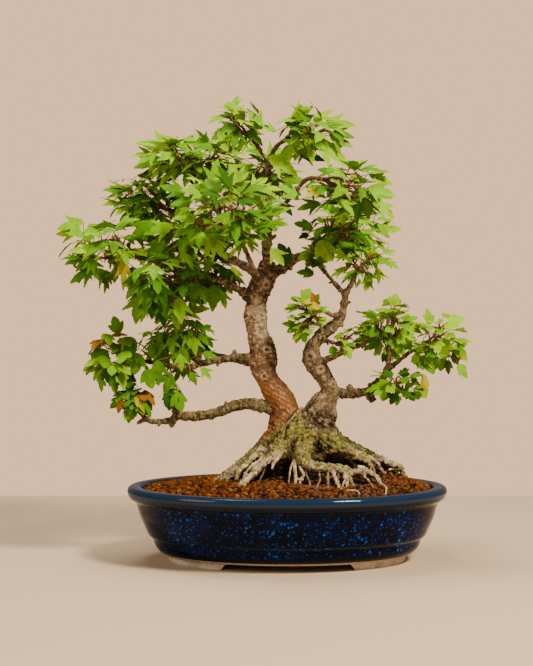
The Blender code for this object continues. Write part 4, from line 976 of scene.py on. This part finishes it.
# Of each mass: the limb it grows from, its centre and reach, how many twigs and leaves it has,
# how long its blades are, their kind, and its tints.
MASSES = {
    "leaves_far_left": ("bough_left_low", (-169, 0, 292), (50, 46, 40), 6, 48, 24.975, "pointed", "crown"),
    "leaves_left_upper": ("bough_left_upper", (-135, 30, 342), (44, 42, 31),
        5, 69, 22.95, "pointed", "crown"),
    "leaves_left_top": ("bough_crown_left", (-92, 0, 378), (54, 46, 27), 6, 81, 24.84, "pointed", "bright"),
    "leaves_front": ("bough_front", (-54, -62, 325), (54, 52, 44), 6, 120, 21.3675, "pointed", "crown"),
    "leaves_left_lower": ("bough_left_drop", (-110, -36, 258), (42, 42, 38),
        5, 62, 23.22, "pointed", "shaded"),
    "leaves_centre_lower": ("bough_left_back", (-74, 24, 262), (36, 36, 26),
        4, 40, 22.8, "pointed", "shaded"),
    "leaves_top_left": ("leader_left", (-46, 5, 409), (32, 36, 28), 4, 24, 25.2, "pointed", "bright"),
    "leaves_top_right": ("leader", (22, -2, 404), (40, 40, 32), 4, 24, 26.775, "pointed", "bright"),
    "leaves_right_upper": ("bough_right_up", (56, -42, 345), (46, 46, 31), 5, 37, 26.25, "pointed", "crown"),
    "leaves_right": ("bough_crown_right", (52, 28, 313), (38, 38, 30), 5, 37, 22.08, "pointed", "shaded"),
    "leaves_right_low": ("second_trunk", (70, -10, 277), (34, 34, 26), 4, 33, 15.75, "pointed", "shaded"),
    "leaves_right_inner": ("second_left", (26, 13, 284), (19, 18, 14), 4, 27, 14.25, "round", "crown"),
    "leaves_mid_outer": ("bough_mid_left", (-158, -15, 191), (34, 32, 36),
        4, 37, 19.125, "round", "turning"),
    "leaves_mid_inner": ("bough_mid_left_side", (-102, 6, 203), (36, 30, 36),
        4, 58, 18.9, "pointed", "shaded"),
    "leaves_mid_back": ("bough_mid_back", (-112, 66, 206), (38, 32, 31), 4, 44, 19.575, "pointed", "shaded"),
    "leaves_low_tip": ("bough_low_tip", (-143, -12, 149), (22, 22, 20), 4, 31, 17.2125, "round", "autumn"),
    "leaves_low_cluster": ("bough_low_left", (-107, -10, 154), (15, 15, 14),
        4, 11, 14.625, "round", "shaded"),
    "leaves_middle": ("bough_middle", (19, -21, 227), (24, 24, 27), 4, 44, 13.5, "round", "turning"),
    "leaves_small_right": ("bough_small_right", (55, -15, 207), (18, 18, 16),
        4, 14, 10.125, "round", "crown"),
    "leaves_right_mass": ("bough_right", (92, -4, 221), (32, 34, 32), 5, 56, 14.04, "round", "sunny"),
    "leaves_right_outer": ("bough_right_outer", (138, -20, 208), (31, 31, 36),
        4, 54, 14.04, "round", "sunny"),
    "leaves_right_skirt": ("bough_right_low", (99, -27, 166), (35, 26, 19),
        4, 33, 14.85, "round", "turning"),
    "leaves_right_back": ("bough_right_back", (98, 58, 213), (34, 30, 30), 4, 35, 15.9375, "round", "crown"),
    "leaves_back_left": ("bough_back_left", (-98, 84, 302), (52, 44, 42),
        5, 65, 26.3625, "pointed", "crown"),
    "leaves_back_top": ("bough_back_top", (-30, 78, 368), (48, 42, 34), 5, 64, 25.65, "pointed", "bright"),
    "leaves_back_right": ("bough_back_right", (70, 86, 318), (42, 40, 38),
        4, 46, 24.225, "pointed", "crown"),
}
# Masses whose leaves have been parted from the front of the limbs behind them.
PARTED_MASSES = ("leaves_middle", "leaves_small_right", "leaves_right_mass", "leaves_mid_inner")
# Leaves that stand out by themselves, by mass: the blade's foot and tip, and its colour.
LONE_LEAVES = {
    "leaves_far_left": (
        ((-190, -6, 317), (-216, -8, 312), "fresh"), ((-183, -10, 286), (-208, -12, 278), "green"),
        ((-178, -14, 273), (-203, -18, 262), "green"), ((-150, -30, 286), (-150, -34, 252), "yellow"),
    ),
    "leaves_left_top": (
        ((-105, -4, 384), (-141, -6, 394), "lime"), ((-69, -6, 387), (-94, -8, 394), "fresh"),
        ((-56, -8, 382), (-64, -10, 404), "lime"),
    ),
    "leaves_top_left": (
        ((-40, 0, 412), (-51, -4, 428), "lime"), ((-46, 0, 406), (-68, -4, 400), "green"),
        ((-24, -2, 403), (-37, -6, 423), "fresh"),
    ),
    "leaves_top_right": (
        ((-11, -4, 401), (-24, -8, 408), "fresh"), ((-3, -6, 411), (28, -12, 400), "green"),
        ((12, -10, 402), (40, -16, 385), "fresh"), ((28, -8, 389), (59, -14, 370), "lime"),
        ((3, -10, 387), (2, -14, 373), "lime"), ((12, 2, 380), (36, -2, 375), "deep"),
        ((4, -6, 412), (24, -8, 425), "lime"), ((40, -8, 396), (62, -12, 388), "fresh"),
    ),
    "leaves_back_top": (
        ((-17, -6, 377), (11, -12, 362), "lime"), ((-2, 40, 352), (14, 30, 346), "green"),
        ((-6, 40, 338), (6, 30, 326), "deep"),
    ),
    "leaves_right_upper": (
        ((74, -40, 358), (97, -44, 351), "lime"), ((82, -44, 332), (98, -48, 320), "lime"),
        ((17, -30, 348), (36, -34, 340), "fresh"), ((30, -26, 333), (8, -30, 327), "green"),
        ((60, -30, 336), (36, -34, 334), "deep"), ((10, -26, 336), (-4, -30, 352), "fresh"),
    ),
    "leaves_right_inner": (
        ((30, -8, 299), (41, -14, 280), "lime"), ((20, -4, 305), (11, -8, 303), "deep"),
        ((24, 0, 312), (8, -6, 318), "green"), ((3, -12, 279), (-8, -16, 297), "deep"),
        ((25, 2, 268), (10, 0, 273), "green"),
    ),
    "leaves_right": (
        ((80, 10, 292), (85, 6, 273), "fresh"),
    ),
    "leaves_front": (
        ((-93, -44, 340), (-116, -48, 349), "green"), ((-90, -50, 335), (-104, -56, 317), "fresh"),
        ((-15, -34, 291), (-3, -40, 275), "lime"),
    ),
    "leaves_left_upper": (
        ((-107, -6, 313), (-134, -14, 307), "fresh"), ((-127, -4, 317), (-147, -12, 302), "green"),
        ((-118, -10, 300), (-131, -16, 283), "green"),
    ),
    "leaves_left_lower": (
        ((-134, -44, 250), (-139, -48, 222), "green"), ((-124, -50, 252), (-122, -54, 226), "deep"),
        ((-98, -50, 246), (-96, -54, 222), "fresh"), ((-107, -40, 250), (-121, -44, 222), "green"),
        ((-84, -44, 258), (-86, -48, 238), "green"),
    ),
    "leaves_centre_lower": (
        ((-62, 4, 252), (-57, 2, 236), "fresh"), ((-68, -6, 258), (-70, -10, 233), "green"),
    ),
    "leaves_mid_inner": (
        ((-97, -16, 231), (-73, -20, 239), "lime"), ((-120, -22, 188), (-118, -26, 165), "green"),
        ((-108, -20, 177), (-114, -24, 156), "green"), ((-99, -24, 194), (-97, -28, 178), "fresh"),
        ((-90, -18, 177), (-83, -22, 166), "green"), ((-80, -18, 181), (-70, -22, 171), "fresh"),
        ((-78, -16, 195), (-64, -20, 191), "green"), ((-104, -16, 216), (-91, -20, 222), "fresh"),
    ),
    "leaves_mid_outer": (
        ((-138, -25, 195), (-141, -29, 175), "green"), ((-130, -25, 180), (-124, -29, 162), "green"),
        ((-150, -25, 210), (-146, -29, 187), "yellow"), ((-140, -28, 208), (-158, -32, 192), "deep"),
        ((-164, -20, 190), (-190, -24, 181), "lime"), ((-156, -18, 213), (-160, -22, 229), "green"),
        ((-168, -24, 210), (-171, -26, 201), "tan"),
    ),
    "leaves_low_tip": (
        ((-153, -24, 153), (-157, -28, 140), "tan"), ((-141, -26, 154), (-131, -30, 141), "yellow"),
    ),
    "leaves_low_cluster": (
        ((-106, -18, 159), (-110, -22, 142), "deep"), ((-103, -20, 158), (-97, -24, 141), "green"),
    ),
    "leaves_middle": (
        ((26, -30, 240), (22, -34, 251), "tan"), ((30, -34, 236), (12, -36, 246), "yellow"),
    ),
    "leaves_right_outer": (
        ((156, -30, 184), (167, -32, 174), "fresh"), ((122, -30, 192), (135, -34, 176), "green"),
        ((142, -34, 209), (143, -38, 190), "fresh"), ((152, -30, 201), (166, -32, 193), "fresh"),
    ),
    "leaves_small_right": (
        ((54, -18, 200), (60, -20, 190), "lime"), ((41, -16, 201), (45, -18, 191), "green"),
    ),
    "leaves_right_skirt": (
        ((124, -40, 176), (128, -42, 156), "yellow"),
    ),
}
# Turning leaves have shrunk in width.
LONE_WIDTH = {"yellow": 0.45, "tan": 0.7}
# Plain leaf colours, and how a mass's sprays share them. Lime and deep are partly the leaves' own colours and
# partly painted sunlight and shade; the bright and sunny tints paint masses as sunlit, and the shaded tint
# paints them as in shade.
LEAF_COLOURS = {
    "lime": (0.25, 0.44, 0.002), "fresh": (0.17, 0.36, 0.004), "green": (0.085, 0.225, 0.003),
    "deep": (0.032, 0.105, 0.003), "yellow": (0.38, 0.33, 0.010), "tan": (0.26, 0.11, 0.012),
}
TINTS = {
    "bright": (0.34, 0.42, 0.18, 0.06, 0, 0), "crown": (0.18, 0.40, 0.32, 0.09, 0.01, 0),
    "shaded": (0.04, 0.25, 0.46, 0.25, 0, 0), "turning": (0.08, 0.32, 0.36, 0.16, 0.05, 0.03),
    "autumn": (0, 0.14, 0.5, 0.26, 0.08, 0.02), "sunny": (0.42, 0.3, 0.2, 0.05, 0.03, 0),
}
UNDERSIDE = (0.20, 0.34, 0.012, 1)
# Half outlines of a blade of length 1, from its stalk round by the side lobe to its tip.
BLADES = {
    "pointed": ((0, 0.02), (0.05, 0.10), (0.15, 0.19), (0.30, 0.27), (0.45, 0.37), (0.64, 0.52), (0.56, 0.34),
                (0.50, 0.22), (0.46, 0.14), (0.55, 0.17), (0.68, 0.165), (0.82, 0.10), (1.0, 0)),
    "round": ((0, 0.02), (0.03, 0.14), (0.13, 0.27), (0.30, 0.38), (0.56, 0.47), (0.58, 0.35),
              (0.55, 0.24), (0.68, 0.25), (0.82, 0.18), (1.0, 0)),
}
BLADE_VEINS = ((0.22, 0), (0.42, 0), (0.62, 0), (0.81, 0), (0.26, 0.14), (0.43, 0.26))
# Where the side lobes end, ahead and aside, and how steeply the veins run out into them.
SIDE_LOBE = (0.64, 0.5)
SIDE_VEIN_SLOPE = 0.81
TOOTH = 0.022
TOOTH_SPACING = 0.105
# Half thickness of the wood and of the stalks at either end.
STEM_RADIUS = (2.0, 1.4)
TWIG_RADIUS = (1.4, 0.9)
SHOOT_RADIUS = (0.9, 0.6)
STALK_RADIUS = (0.44, 0.34)
# Leaves face the light, lone leaves the front, each turned a little its own way.
LIGHT = Vector((0.08, -0.6, 0.9))
FACE_JITTER = 0.62
LONE_FACE = Vector((0.1, -0.9, 0.7))
# How far twigs reach into their mass's space, and how far out shoots and leaves may end.
TWIG_REACH = 0.414
SHOOT_EDGE = 0.75
LEAF_EDGE = 1.08
# How far twigs, shoots and leaves keep from the limbs, and how far behind parted leaves no limb
# may lie.
TWIG_CLEAR, SHOOT_CLEAR, LEAF_CLEAR = 4, 3, 2.2
PARTED_DEPTH = 60


class Twig:
    """A twig that curves from its start past a bend to its end, with leaves counted back from its tip."""

    def __init__(self, start, bend, end, radii):
        self.start, self.bend, self.end, self.radii = start, bend, end, radii
        self.length = (end - start).length
        self.leaves = 0
        self.tint = 0

    def at(self, share):
        """The place at a share of its length."""
        rest = 1 - share
        return self.start * rest ** 2 + self.bend * 2 * share * rest + self.end * share ** 2

    def next_node(self):
        """Where its next leaf grows: two at a node."""
        back = 1.0 + NODE_SPACING * (self.leaves // 2)
        return self.at(max(0.25, 1 - back / self.length))

    def wood(self, sides, steps):
        """Corners and faces of its wood, which is knotted at every other step."""
        thick, thin = self.radii
        return tube([(*self.at(k / steps), (thick + (thin - thick) * k / steps) * (1 + 0.22 * (k % 2)))
                     for k in range(steps + 1)], sides)


class Leaf:
    """A blade at the end of its stalk: the stalk's root, the blade's foot, headings, size and colour."""

    def __init__(self, root, base, along, face_up, size, tint, width=1.0):
        self.root, self.base, self.along, self.size, self.tint = root, base, along, size, tint
        self.width = width
        self.across = face_up.cross(along).normalized()
        self.tip = base + along * size
        ahead, aside = SIDE_LOBE
        side = self.across * aside * size
        lobes = base + along * ahead * size
        self.ends = (self.tip, lobes + side, lobes - side)
        self.middle = base + along * 0.5 * size


def toothed(half):
    """A half outline with small teeth, which lean forward, along its longer edges."""
    outline = []
    for (a, c), (b, d) in zip(half, half[1:]):
        outline.append((a, c))
        length = math.hypot(b - a, d - c)
        count = int(length / TOOTH_SPACING + 0.3)
        for k in range(count):
            peak, foot = (k + 0.62) / (count + 0.4), (k + 0.74) / (count + 0.4)
            outline.append((a + peak * (b - a) - TOOTH * (d - c) / length,
                            c + peak * (d - c) + TOOTH * (b - a) / length))
            outline.append((a + foot * (b - a), c + foot * (d - c)))
    return outline


def blade_template(kind):
    """Flat corners (ahead, aside) and triangles of a whole blade."""
    half = toothed(BLADES[kind])
    rim = half + [(1.0, 0.0)] + [(a, -c) for a, c in reversed(half)]
    inner = [(a, c) for a, c in BLADE_VEINS] + [(a, -c) for a, c in BLADE_VEINS if c]
    corners = [Vector(p) for p in rim + inner]
    edges = [(i, (i + 1) % len(rim)) for i in range(len(rim))]
    flat, _, faces, *_ = delaunay_2d_cdt(corners, edges, [], 1, 1e-5)
    faces = [f if (flat[f[1]] - flat[f[0]]).cross(flat[f[2]] - flat[f[0]]) > 0 else f[::-1] for f in faces]
    return [(p.x, p.y) for p in flat], [tuple(f) for f in faces]


def reach_of(place, centre, radii):
    """How far out a place lies: 1 on the surface of a mass's space."""
    return math.sqrt(sum(((place[i] - centre[i]) / radii[i]) ** 2 for i in range(3)))


def spread(k, count, turn):
    """Direction k of count directions spread evenly all round."""
    z = 1 - 2 * (k + 0.5) / count
    ring = math.sqrt(1 - z * z)
    return Vector((ring * math.cos(k * GOLDEN_ANGLE + turn), ring * math.sin(k * GOLDEN_ANGLE + turn), z))


def grow_wood(rng, limb, centre, radii, count):
    """The stem, the twigs and the fine shoots of a mass, clear of the limbs."""
    samples = curve_through(limb_stations(limb), HEADING_STEP)
    start = Vector(samples[-1][:3])
    heading = (start - Vector(samples[-2][:3])).normalized()
    heart = centre - Vector((0, 0, 0.2 * radii.z))
    stem = Twig(start - heading, start + heading * 0.4 * (heart - start).length, heart, STEM_RADIUS)
    twigs = []
    turn = rng.uniform(0, 2 * math.pi)
    for k in range(count):
        fork = stem.at(0.45 + 0.5 * k / count)
        for _ in range(TWIG_TRIES):
            aim = spread(k, count, turn) + jitter(rng, 0.25)
            end = centre + Vector([aim[i] * radii[i] for i in range(3)]) * TWIG_REACH
            span = (end - fork).length
            if span > 6 and limbs.find_nearest(end)[3] > TWIG_CLEAR:
                twigs.append(Twig(fork, (fork + end) / 2 - Vector((0, 0, 0.12 * span)), end, TWIG_RADIUS))
                break
    shoots = []
    for twig in twigs:
        for k in range(SHOOTS_PER_TWIG):
            fork = twig.at(0.42 + 0.5 * k / SHOOTS_PER_TWIG)
            out = (twig.end - twig.start).normalized() + jitter(rng, 1.0) + Vector((0, 0, 0.25))
            end = fork + out.normalized() * rng.uniform(0.22, 0.4) * radii.length / 1.7
            if reach_of(end, centre, radii) < SHOOT_EDGE and limbs.find_nearest(end)[3] > SHOOT_CLEAR:
                shoots.append(Twig(fork, (fork + end) / 2 + jitter(rng, 1.0), end, SHOOT_RADIUS))
    return stem, twigs, shoots


def try_leaf(rng, bearers, centre, radii, length, parted):
    """A random leaf and its twig, or nothing if it would leave the mass's space or touch a limb.

    Leaves of the lower masses on the left hang and face outwards, the others lie flatter.
    """
    twig = rng.choice(bearers)
    root = twig.next_node()
    size = length * rng.uniform(0.74, 1.14)
    heading = jitter(rng, 1.0).normalized() + (root - centre) / radii.length + Vector((0, 0, 0.15))
    heading.normalize()
    base = root + heading * rng.uniform(0.3, 0.8) * size
    hang = soft_step(centre.z, 310, 240) * soft_step(centre.x, 20, -40)
    along = heading + jitter(rng, 0.25) - Vector((0, 0, 0.3 + 0.8 * hang))
    along.z *= 0.6 + 0.4 * hang
    along.normalize()
    face_up = LIGHT * (1 - 0.35 * hang) + heading * (0.4 + 0.7 * hang) + jitter(rng, FACE_JITTER)
    face_up.normalize()
    if heading.dot(along) < 0.3 - 0.5 * hang or abs(face_up.dot(along)) > 0.85:
        return None
    leaf = Leaf(root, base, along, face_up, size, twig.tint)
    if any(reach_of(end, centre, radii) > LEAF_EDGE for end in leaf.ends):
        return None
    touched = (*leaf.ends, leaf.middle)
    if any(limbs.find_nearest(end)[3] < LEAF_CLEAR for end in touched):
        return None
    if parted and any(limbs.ray_cast(end, Vector((0, 1, 0)), PARTED_DEPTH)[0] for end in touched):
        return None
    return leaf, twig


def grow_leaves(rng, bearers, centre, radii, count, length, parted):
    """Leaves added one by one, each where its mass is emptiest."""
    leaves = []
    for _ in range(count):
        best, best_room = None, 0.0
        for _ in range(LEAF_TRIES):
            found = try_leaf(rng, bearers, centre, radii, length, parted)
            if not found:
                continue
            room = min([(found[0].middle - other.middle).length for other in leaves] or [length])
            room += 0.25 * radii.z * reach_of(found[0].tip, centre, radii)
            if room > best_room:
                best, best_room = found, room
        if best:
            best[1].leaves += 1
            leaves.append(best[0])
    return leaves


def lone_leaves(rng, name, bearers):
    """The leaves of a mass that stand out, each on a stalk from the nearest twig's end."""
    leaves = []
    for foot, tip, colour in LONE_LEAVES.get(name, ()):
        base, along = Vector(foot), Vector(tip) - Vector(foot)
        root = min((bearer.end for bearer in bearers), key=lambda end: (end - base).length)
        leaves.append(Leaf(root, base, along.normalized(), LONE_FACE + jitter(rng, 0.2),
                           along.length, list(LEAF_COLOURS).index(colour), LONE_WIDTH.get(colour, 1.0)))
    return leaves


def lay_blade(rng, template, leaf, places):
    """Corners of a folded, drooping blade at a leaf's base; their places on it go to the list."""
    normal = leaf.along.cross(leaf.across)
    fold = rng.uniform(-0.1, 0.34)
    droop = rng.uniform(0.05, 0.34)
    curl = rng.uniform(0.0, 0.5)
    wave, phase = rng.uniform(0.02, 0.07), rng.uniform(0, 6.28)
    tone = rng.random()
    corners = []
    for ahead, aside in template:
        high = (fold * abs(aside) - droop * ahead * ahead - curl * aside * aside
                + wave * math.sin(11 * ahead + 5 * abs(aside) + phase) * abs(aside))
        corners.append(leaf.base + leaf.size
                       * (ahead * leaf.along + leaf.width * aside * leaf.across + high * normal))
        places += (ahead, aside, tone)
    return corners


leaf_finishes = []
for leaf_name, tone in LEAF_COLOURS.items():
    green = Finish(f"leaf_{leaf_name}_finish", 0.55, 0.04)
    on_blade = green.add("Attribute", attribute_name="on_blade").outputs["Vector"]
    ahead, aside, own_tone = green.add("SeparateXYZ", {0: on_blade}).outputs
    aside = green.work_out("ABSOLUTE", aside)
    off_side_vein = green.work_out("SUBTRACT", aside, green.times(ahead, SIDE_VEIN_SLOPE))
    veins = green.larger(green.step_up(aside, 0.022, 0.004),
                         green.step_up(green.work_out("ABSOLUTE", off_side_vein), 0.02, 0.004))
    slant = green.work_out("SUBTRACT", ahead, green.times(aside, 0.75))
    ribs = green.work_out("SINE", green.times(slant, 75.0))
    veins = green.larger(veins, green.step_up(ribs, 0.86, 1.0, 0.0, 0.45))
    dark = (*(0.6 * c for c in tone), 1)
    light = (*(min(1.0, 1.35 * c + extra) for c, extra in zip(tone, (0.006, 0.010, 0))), 1)
    mottle = green.grain(110, high=0.7, light=(*tone, 1), dark=dark)
    blade = green.blend(green.times(own_tone, 0.5), mottle["Color"], light)
    blade = green.blend(green.times(veins, 0.5), blade, light)
    under = green.blend(0.3, blade, UNDERSIDE)
    back = green.add("NewGeometry").outputs["Backfacing"]
    green.feed("Base Color", green.blend(back, blade, under))
    green.lift(green.work_out("ADD", veins, mottle["Height"]), 0.35, 0.35)
    leaf_finishes.append(green.material)
shoot_bark = grained("twig_finish", 0.8, (0.5, 0.3), 500,
                     light=(0.18, 0.10, 0.05, 1), dark=(0.07, 0.035, 0.018, 1))
stalk_red = grained("leaf_stalk_finish", 0.5, None, 60, 2,
                    light=(0.32, 0.10, 0.025, 1), dark=(0.25, 0.22, 0.02, 1))

limbs = surface_of([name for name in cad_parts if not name.startswith("leaves_")])
templates = {kind: blade_template(kind) for kind in BLADES}

for name, (limb, centre, radii, twig_count, leaf_count, length, kind, tint) in MASSES.items():
    rng = random.Random(name)
    centre, radii = Vector(centre), Vector(radii)
    stem, twigs, shoots = grow_wood(rng, limb, centre, radii, twig_count)
    bearers = twigs + shoots
    for twig in bearers:
        twig.tint = rng.choices(range(len(LEAF_COLOURS)), TINTS[tint])[0]
    leaves = grow_leaves(rng, bearers, centre, radii, leaf_count, length, name in PARTED_MASSES)
    leaves += lone_leaves(rng, name, bearers)

    verts, faces, dealt = [], [], []
    for twig, sides, steps in [(stem, 8, 10)] + [(t, 6, 8) for t in twigs] + [(s, 5, 5) for s in shoots]:
        dealt += [0] * add_part(verts, faces, *twig.wood(sides, steps))
    for leaf in leaves:
        bend = (leaf.root + leaf.base) / 2 + Vector((0, 0, 0.08 * (leaf.base - leaf.root).length))
        stalk = Twig(leaf.root, bend, leaf.base, STALK_RADIUS)
        dealt += [1] * add_part(verts, faces, *stalk.wood(4, 4))
    make_piece(name.replace("leaves_", "twigs_"), verts, faces, [shoot_bark, stalk_red], dealt=dealt)

    flat, triangles = templates[kind]
    verts, faces, dealt, places = [], [], [], []
    for leaf in leaves:
        dealt += [leaf.tint] * add_part(verts, faces, lay_blade(rng, flat, leaf, places), triangles)
    mesh = make_piece(name.replace("leaves_", "blades_"), verts, faces, leaf_finishes,
                      replaced=[name], dealt=dealt)
    mesh.attributes.new("on_blade", "FLOAT_VECTOR", "POINT").data.foreach_set("vector", places)


# The table is plain pale stone, rubbed smooth, and ends half a metre behind the pot's axis. It is
# given in metres.
TABLE_REACH = 2.5
TABLE_BACK = 0.47
TABLE_EDGE = 0.04
STONE = (0.64, 0.475, 0.325, 1)
table_mesh = bpy.data.meshes.new("table")
table_mesh.from_pydata([
    (-TABLE_REACH, -TABLE_REACH, 0), (TABLE_REACH, -TABLE_REACH, 0), (TABLE_REACH, TABLE_BACK, 0),
    (-TABLE_REACH, TABLE_BACK, 0), (-TABLE_REACH, TABLE_BACK, -TABLE_EDGE),
    (TABLE_REACH, TABLE_BACK, -TABLE_EDGE),
], [], [(0, 1, 2, 3), (3, 2, 5, 4)])
stone = Finish("table_stone_finish", 0.7)
stone.sockets["Base Color"].default_value = STONE
table_mesh.materials.append(stone.material)
table = bpy.data.objects.new("table", table_mesh)
bpy.context.scene.collection.objects.link(table)

# Soft studio light: one broad warm lamp high on the right of the front, a weaker one on the
# left, one overhead, and a pale warm surround, dimmer for the plant than it looks.
AIM = Vector((0, 0, 0.2))
SURROUND = (0.50, 0.42, 0.33, 1)
SURROUND_STRENGTH = 0.55
WALL = (1.32, 0.82, 0.47, 1)
# Of each lamp: its place and width in metres, its power in watts and its colour.
LAMPS = (("key_lamp", (0.95, -1.0, 1.55), 0.45, 62, (1.0, 0.90, 0.74)),
         ("fill_lamp", (-1.3, -0.9, 0.8), 0.8, 9, (1.0, 0.93, 0.84)),
         ("top_lamp", (-0.35, 0.1, 1.7), 0.6, 20, (1.0, 0.93, 0.78)))
for name, where, size, power, tone in LAMPS:
    lamp = bpy.data.lights.new(name, "AREA")
    lamp.shape = "DISK"
    lamp.size = size
    lamp.energy = power
    lamp.color = tone
    holder = bpy.data.objects.new(name, lamp)
    holder.location = where
    holder.rotation_euler = (AIM - Vector(where)).to_track_quat("-Z", "Y").to_euler()
    bpy.context.scene.collection.objects.link(holder)
world = bpy.data.worlds.new("surround")
world.use_nodes = True
nodes = Nodes(world.node_tree)
background = world.node_tree.nodes["Background"]
background.inputs[0].default_value = SURROUND
background.inputs[1].default_value = SURROUND_STRENGTH
wall = nodes.add("Background", {0: WALL, 1: 1.0})
seen = nodes.add("LightPath").outputs["Is Camera Ray"]
both = nodes.add("MixShader", {0: seen, 1: background.outputs[0], 2: wall.outputs[0]})
world.node_tree.links.new(both.outputs[0], world.node_tree.nodes["World Output"].inputs[0])
bpy.context.scene.world = world

# The camera stands 1.45 m in front of the pot's axis, about level with the middle of the plant.
# Its place is in metres and its dip in degrees.
CAMERA_PLACE = (-0.0193, -1.45, 0.242)
CAMERA_DIP = 1.15
camera = bpy.data.cameras.new("camera")
camera.lens = 83.6
camera.sensor_width = 36
camera_holder = bpy.data.objects.new("camera", camera)
camera_holder.location = POT_AXIS + Vector(CAMERA_PLACE)
camera_holder.rotation_euler = (math.radians(90 - CAMERA_DIP), 0, 0)
bpy.context.scene.collection.objects.link(camera_holder)
bpy.context.scene.camera = camera_holder
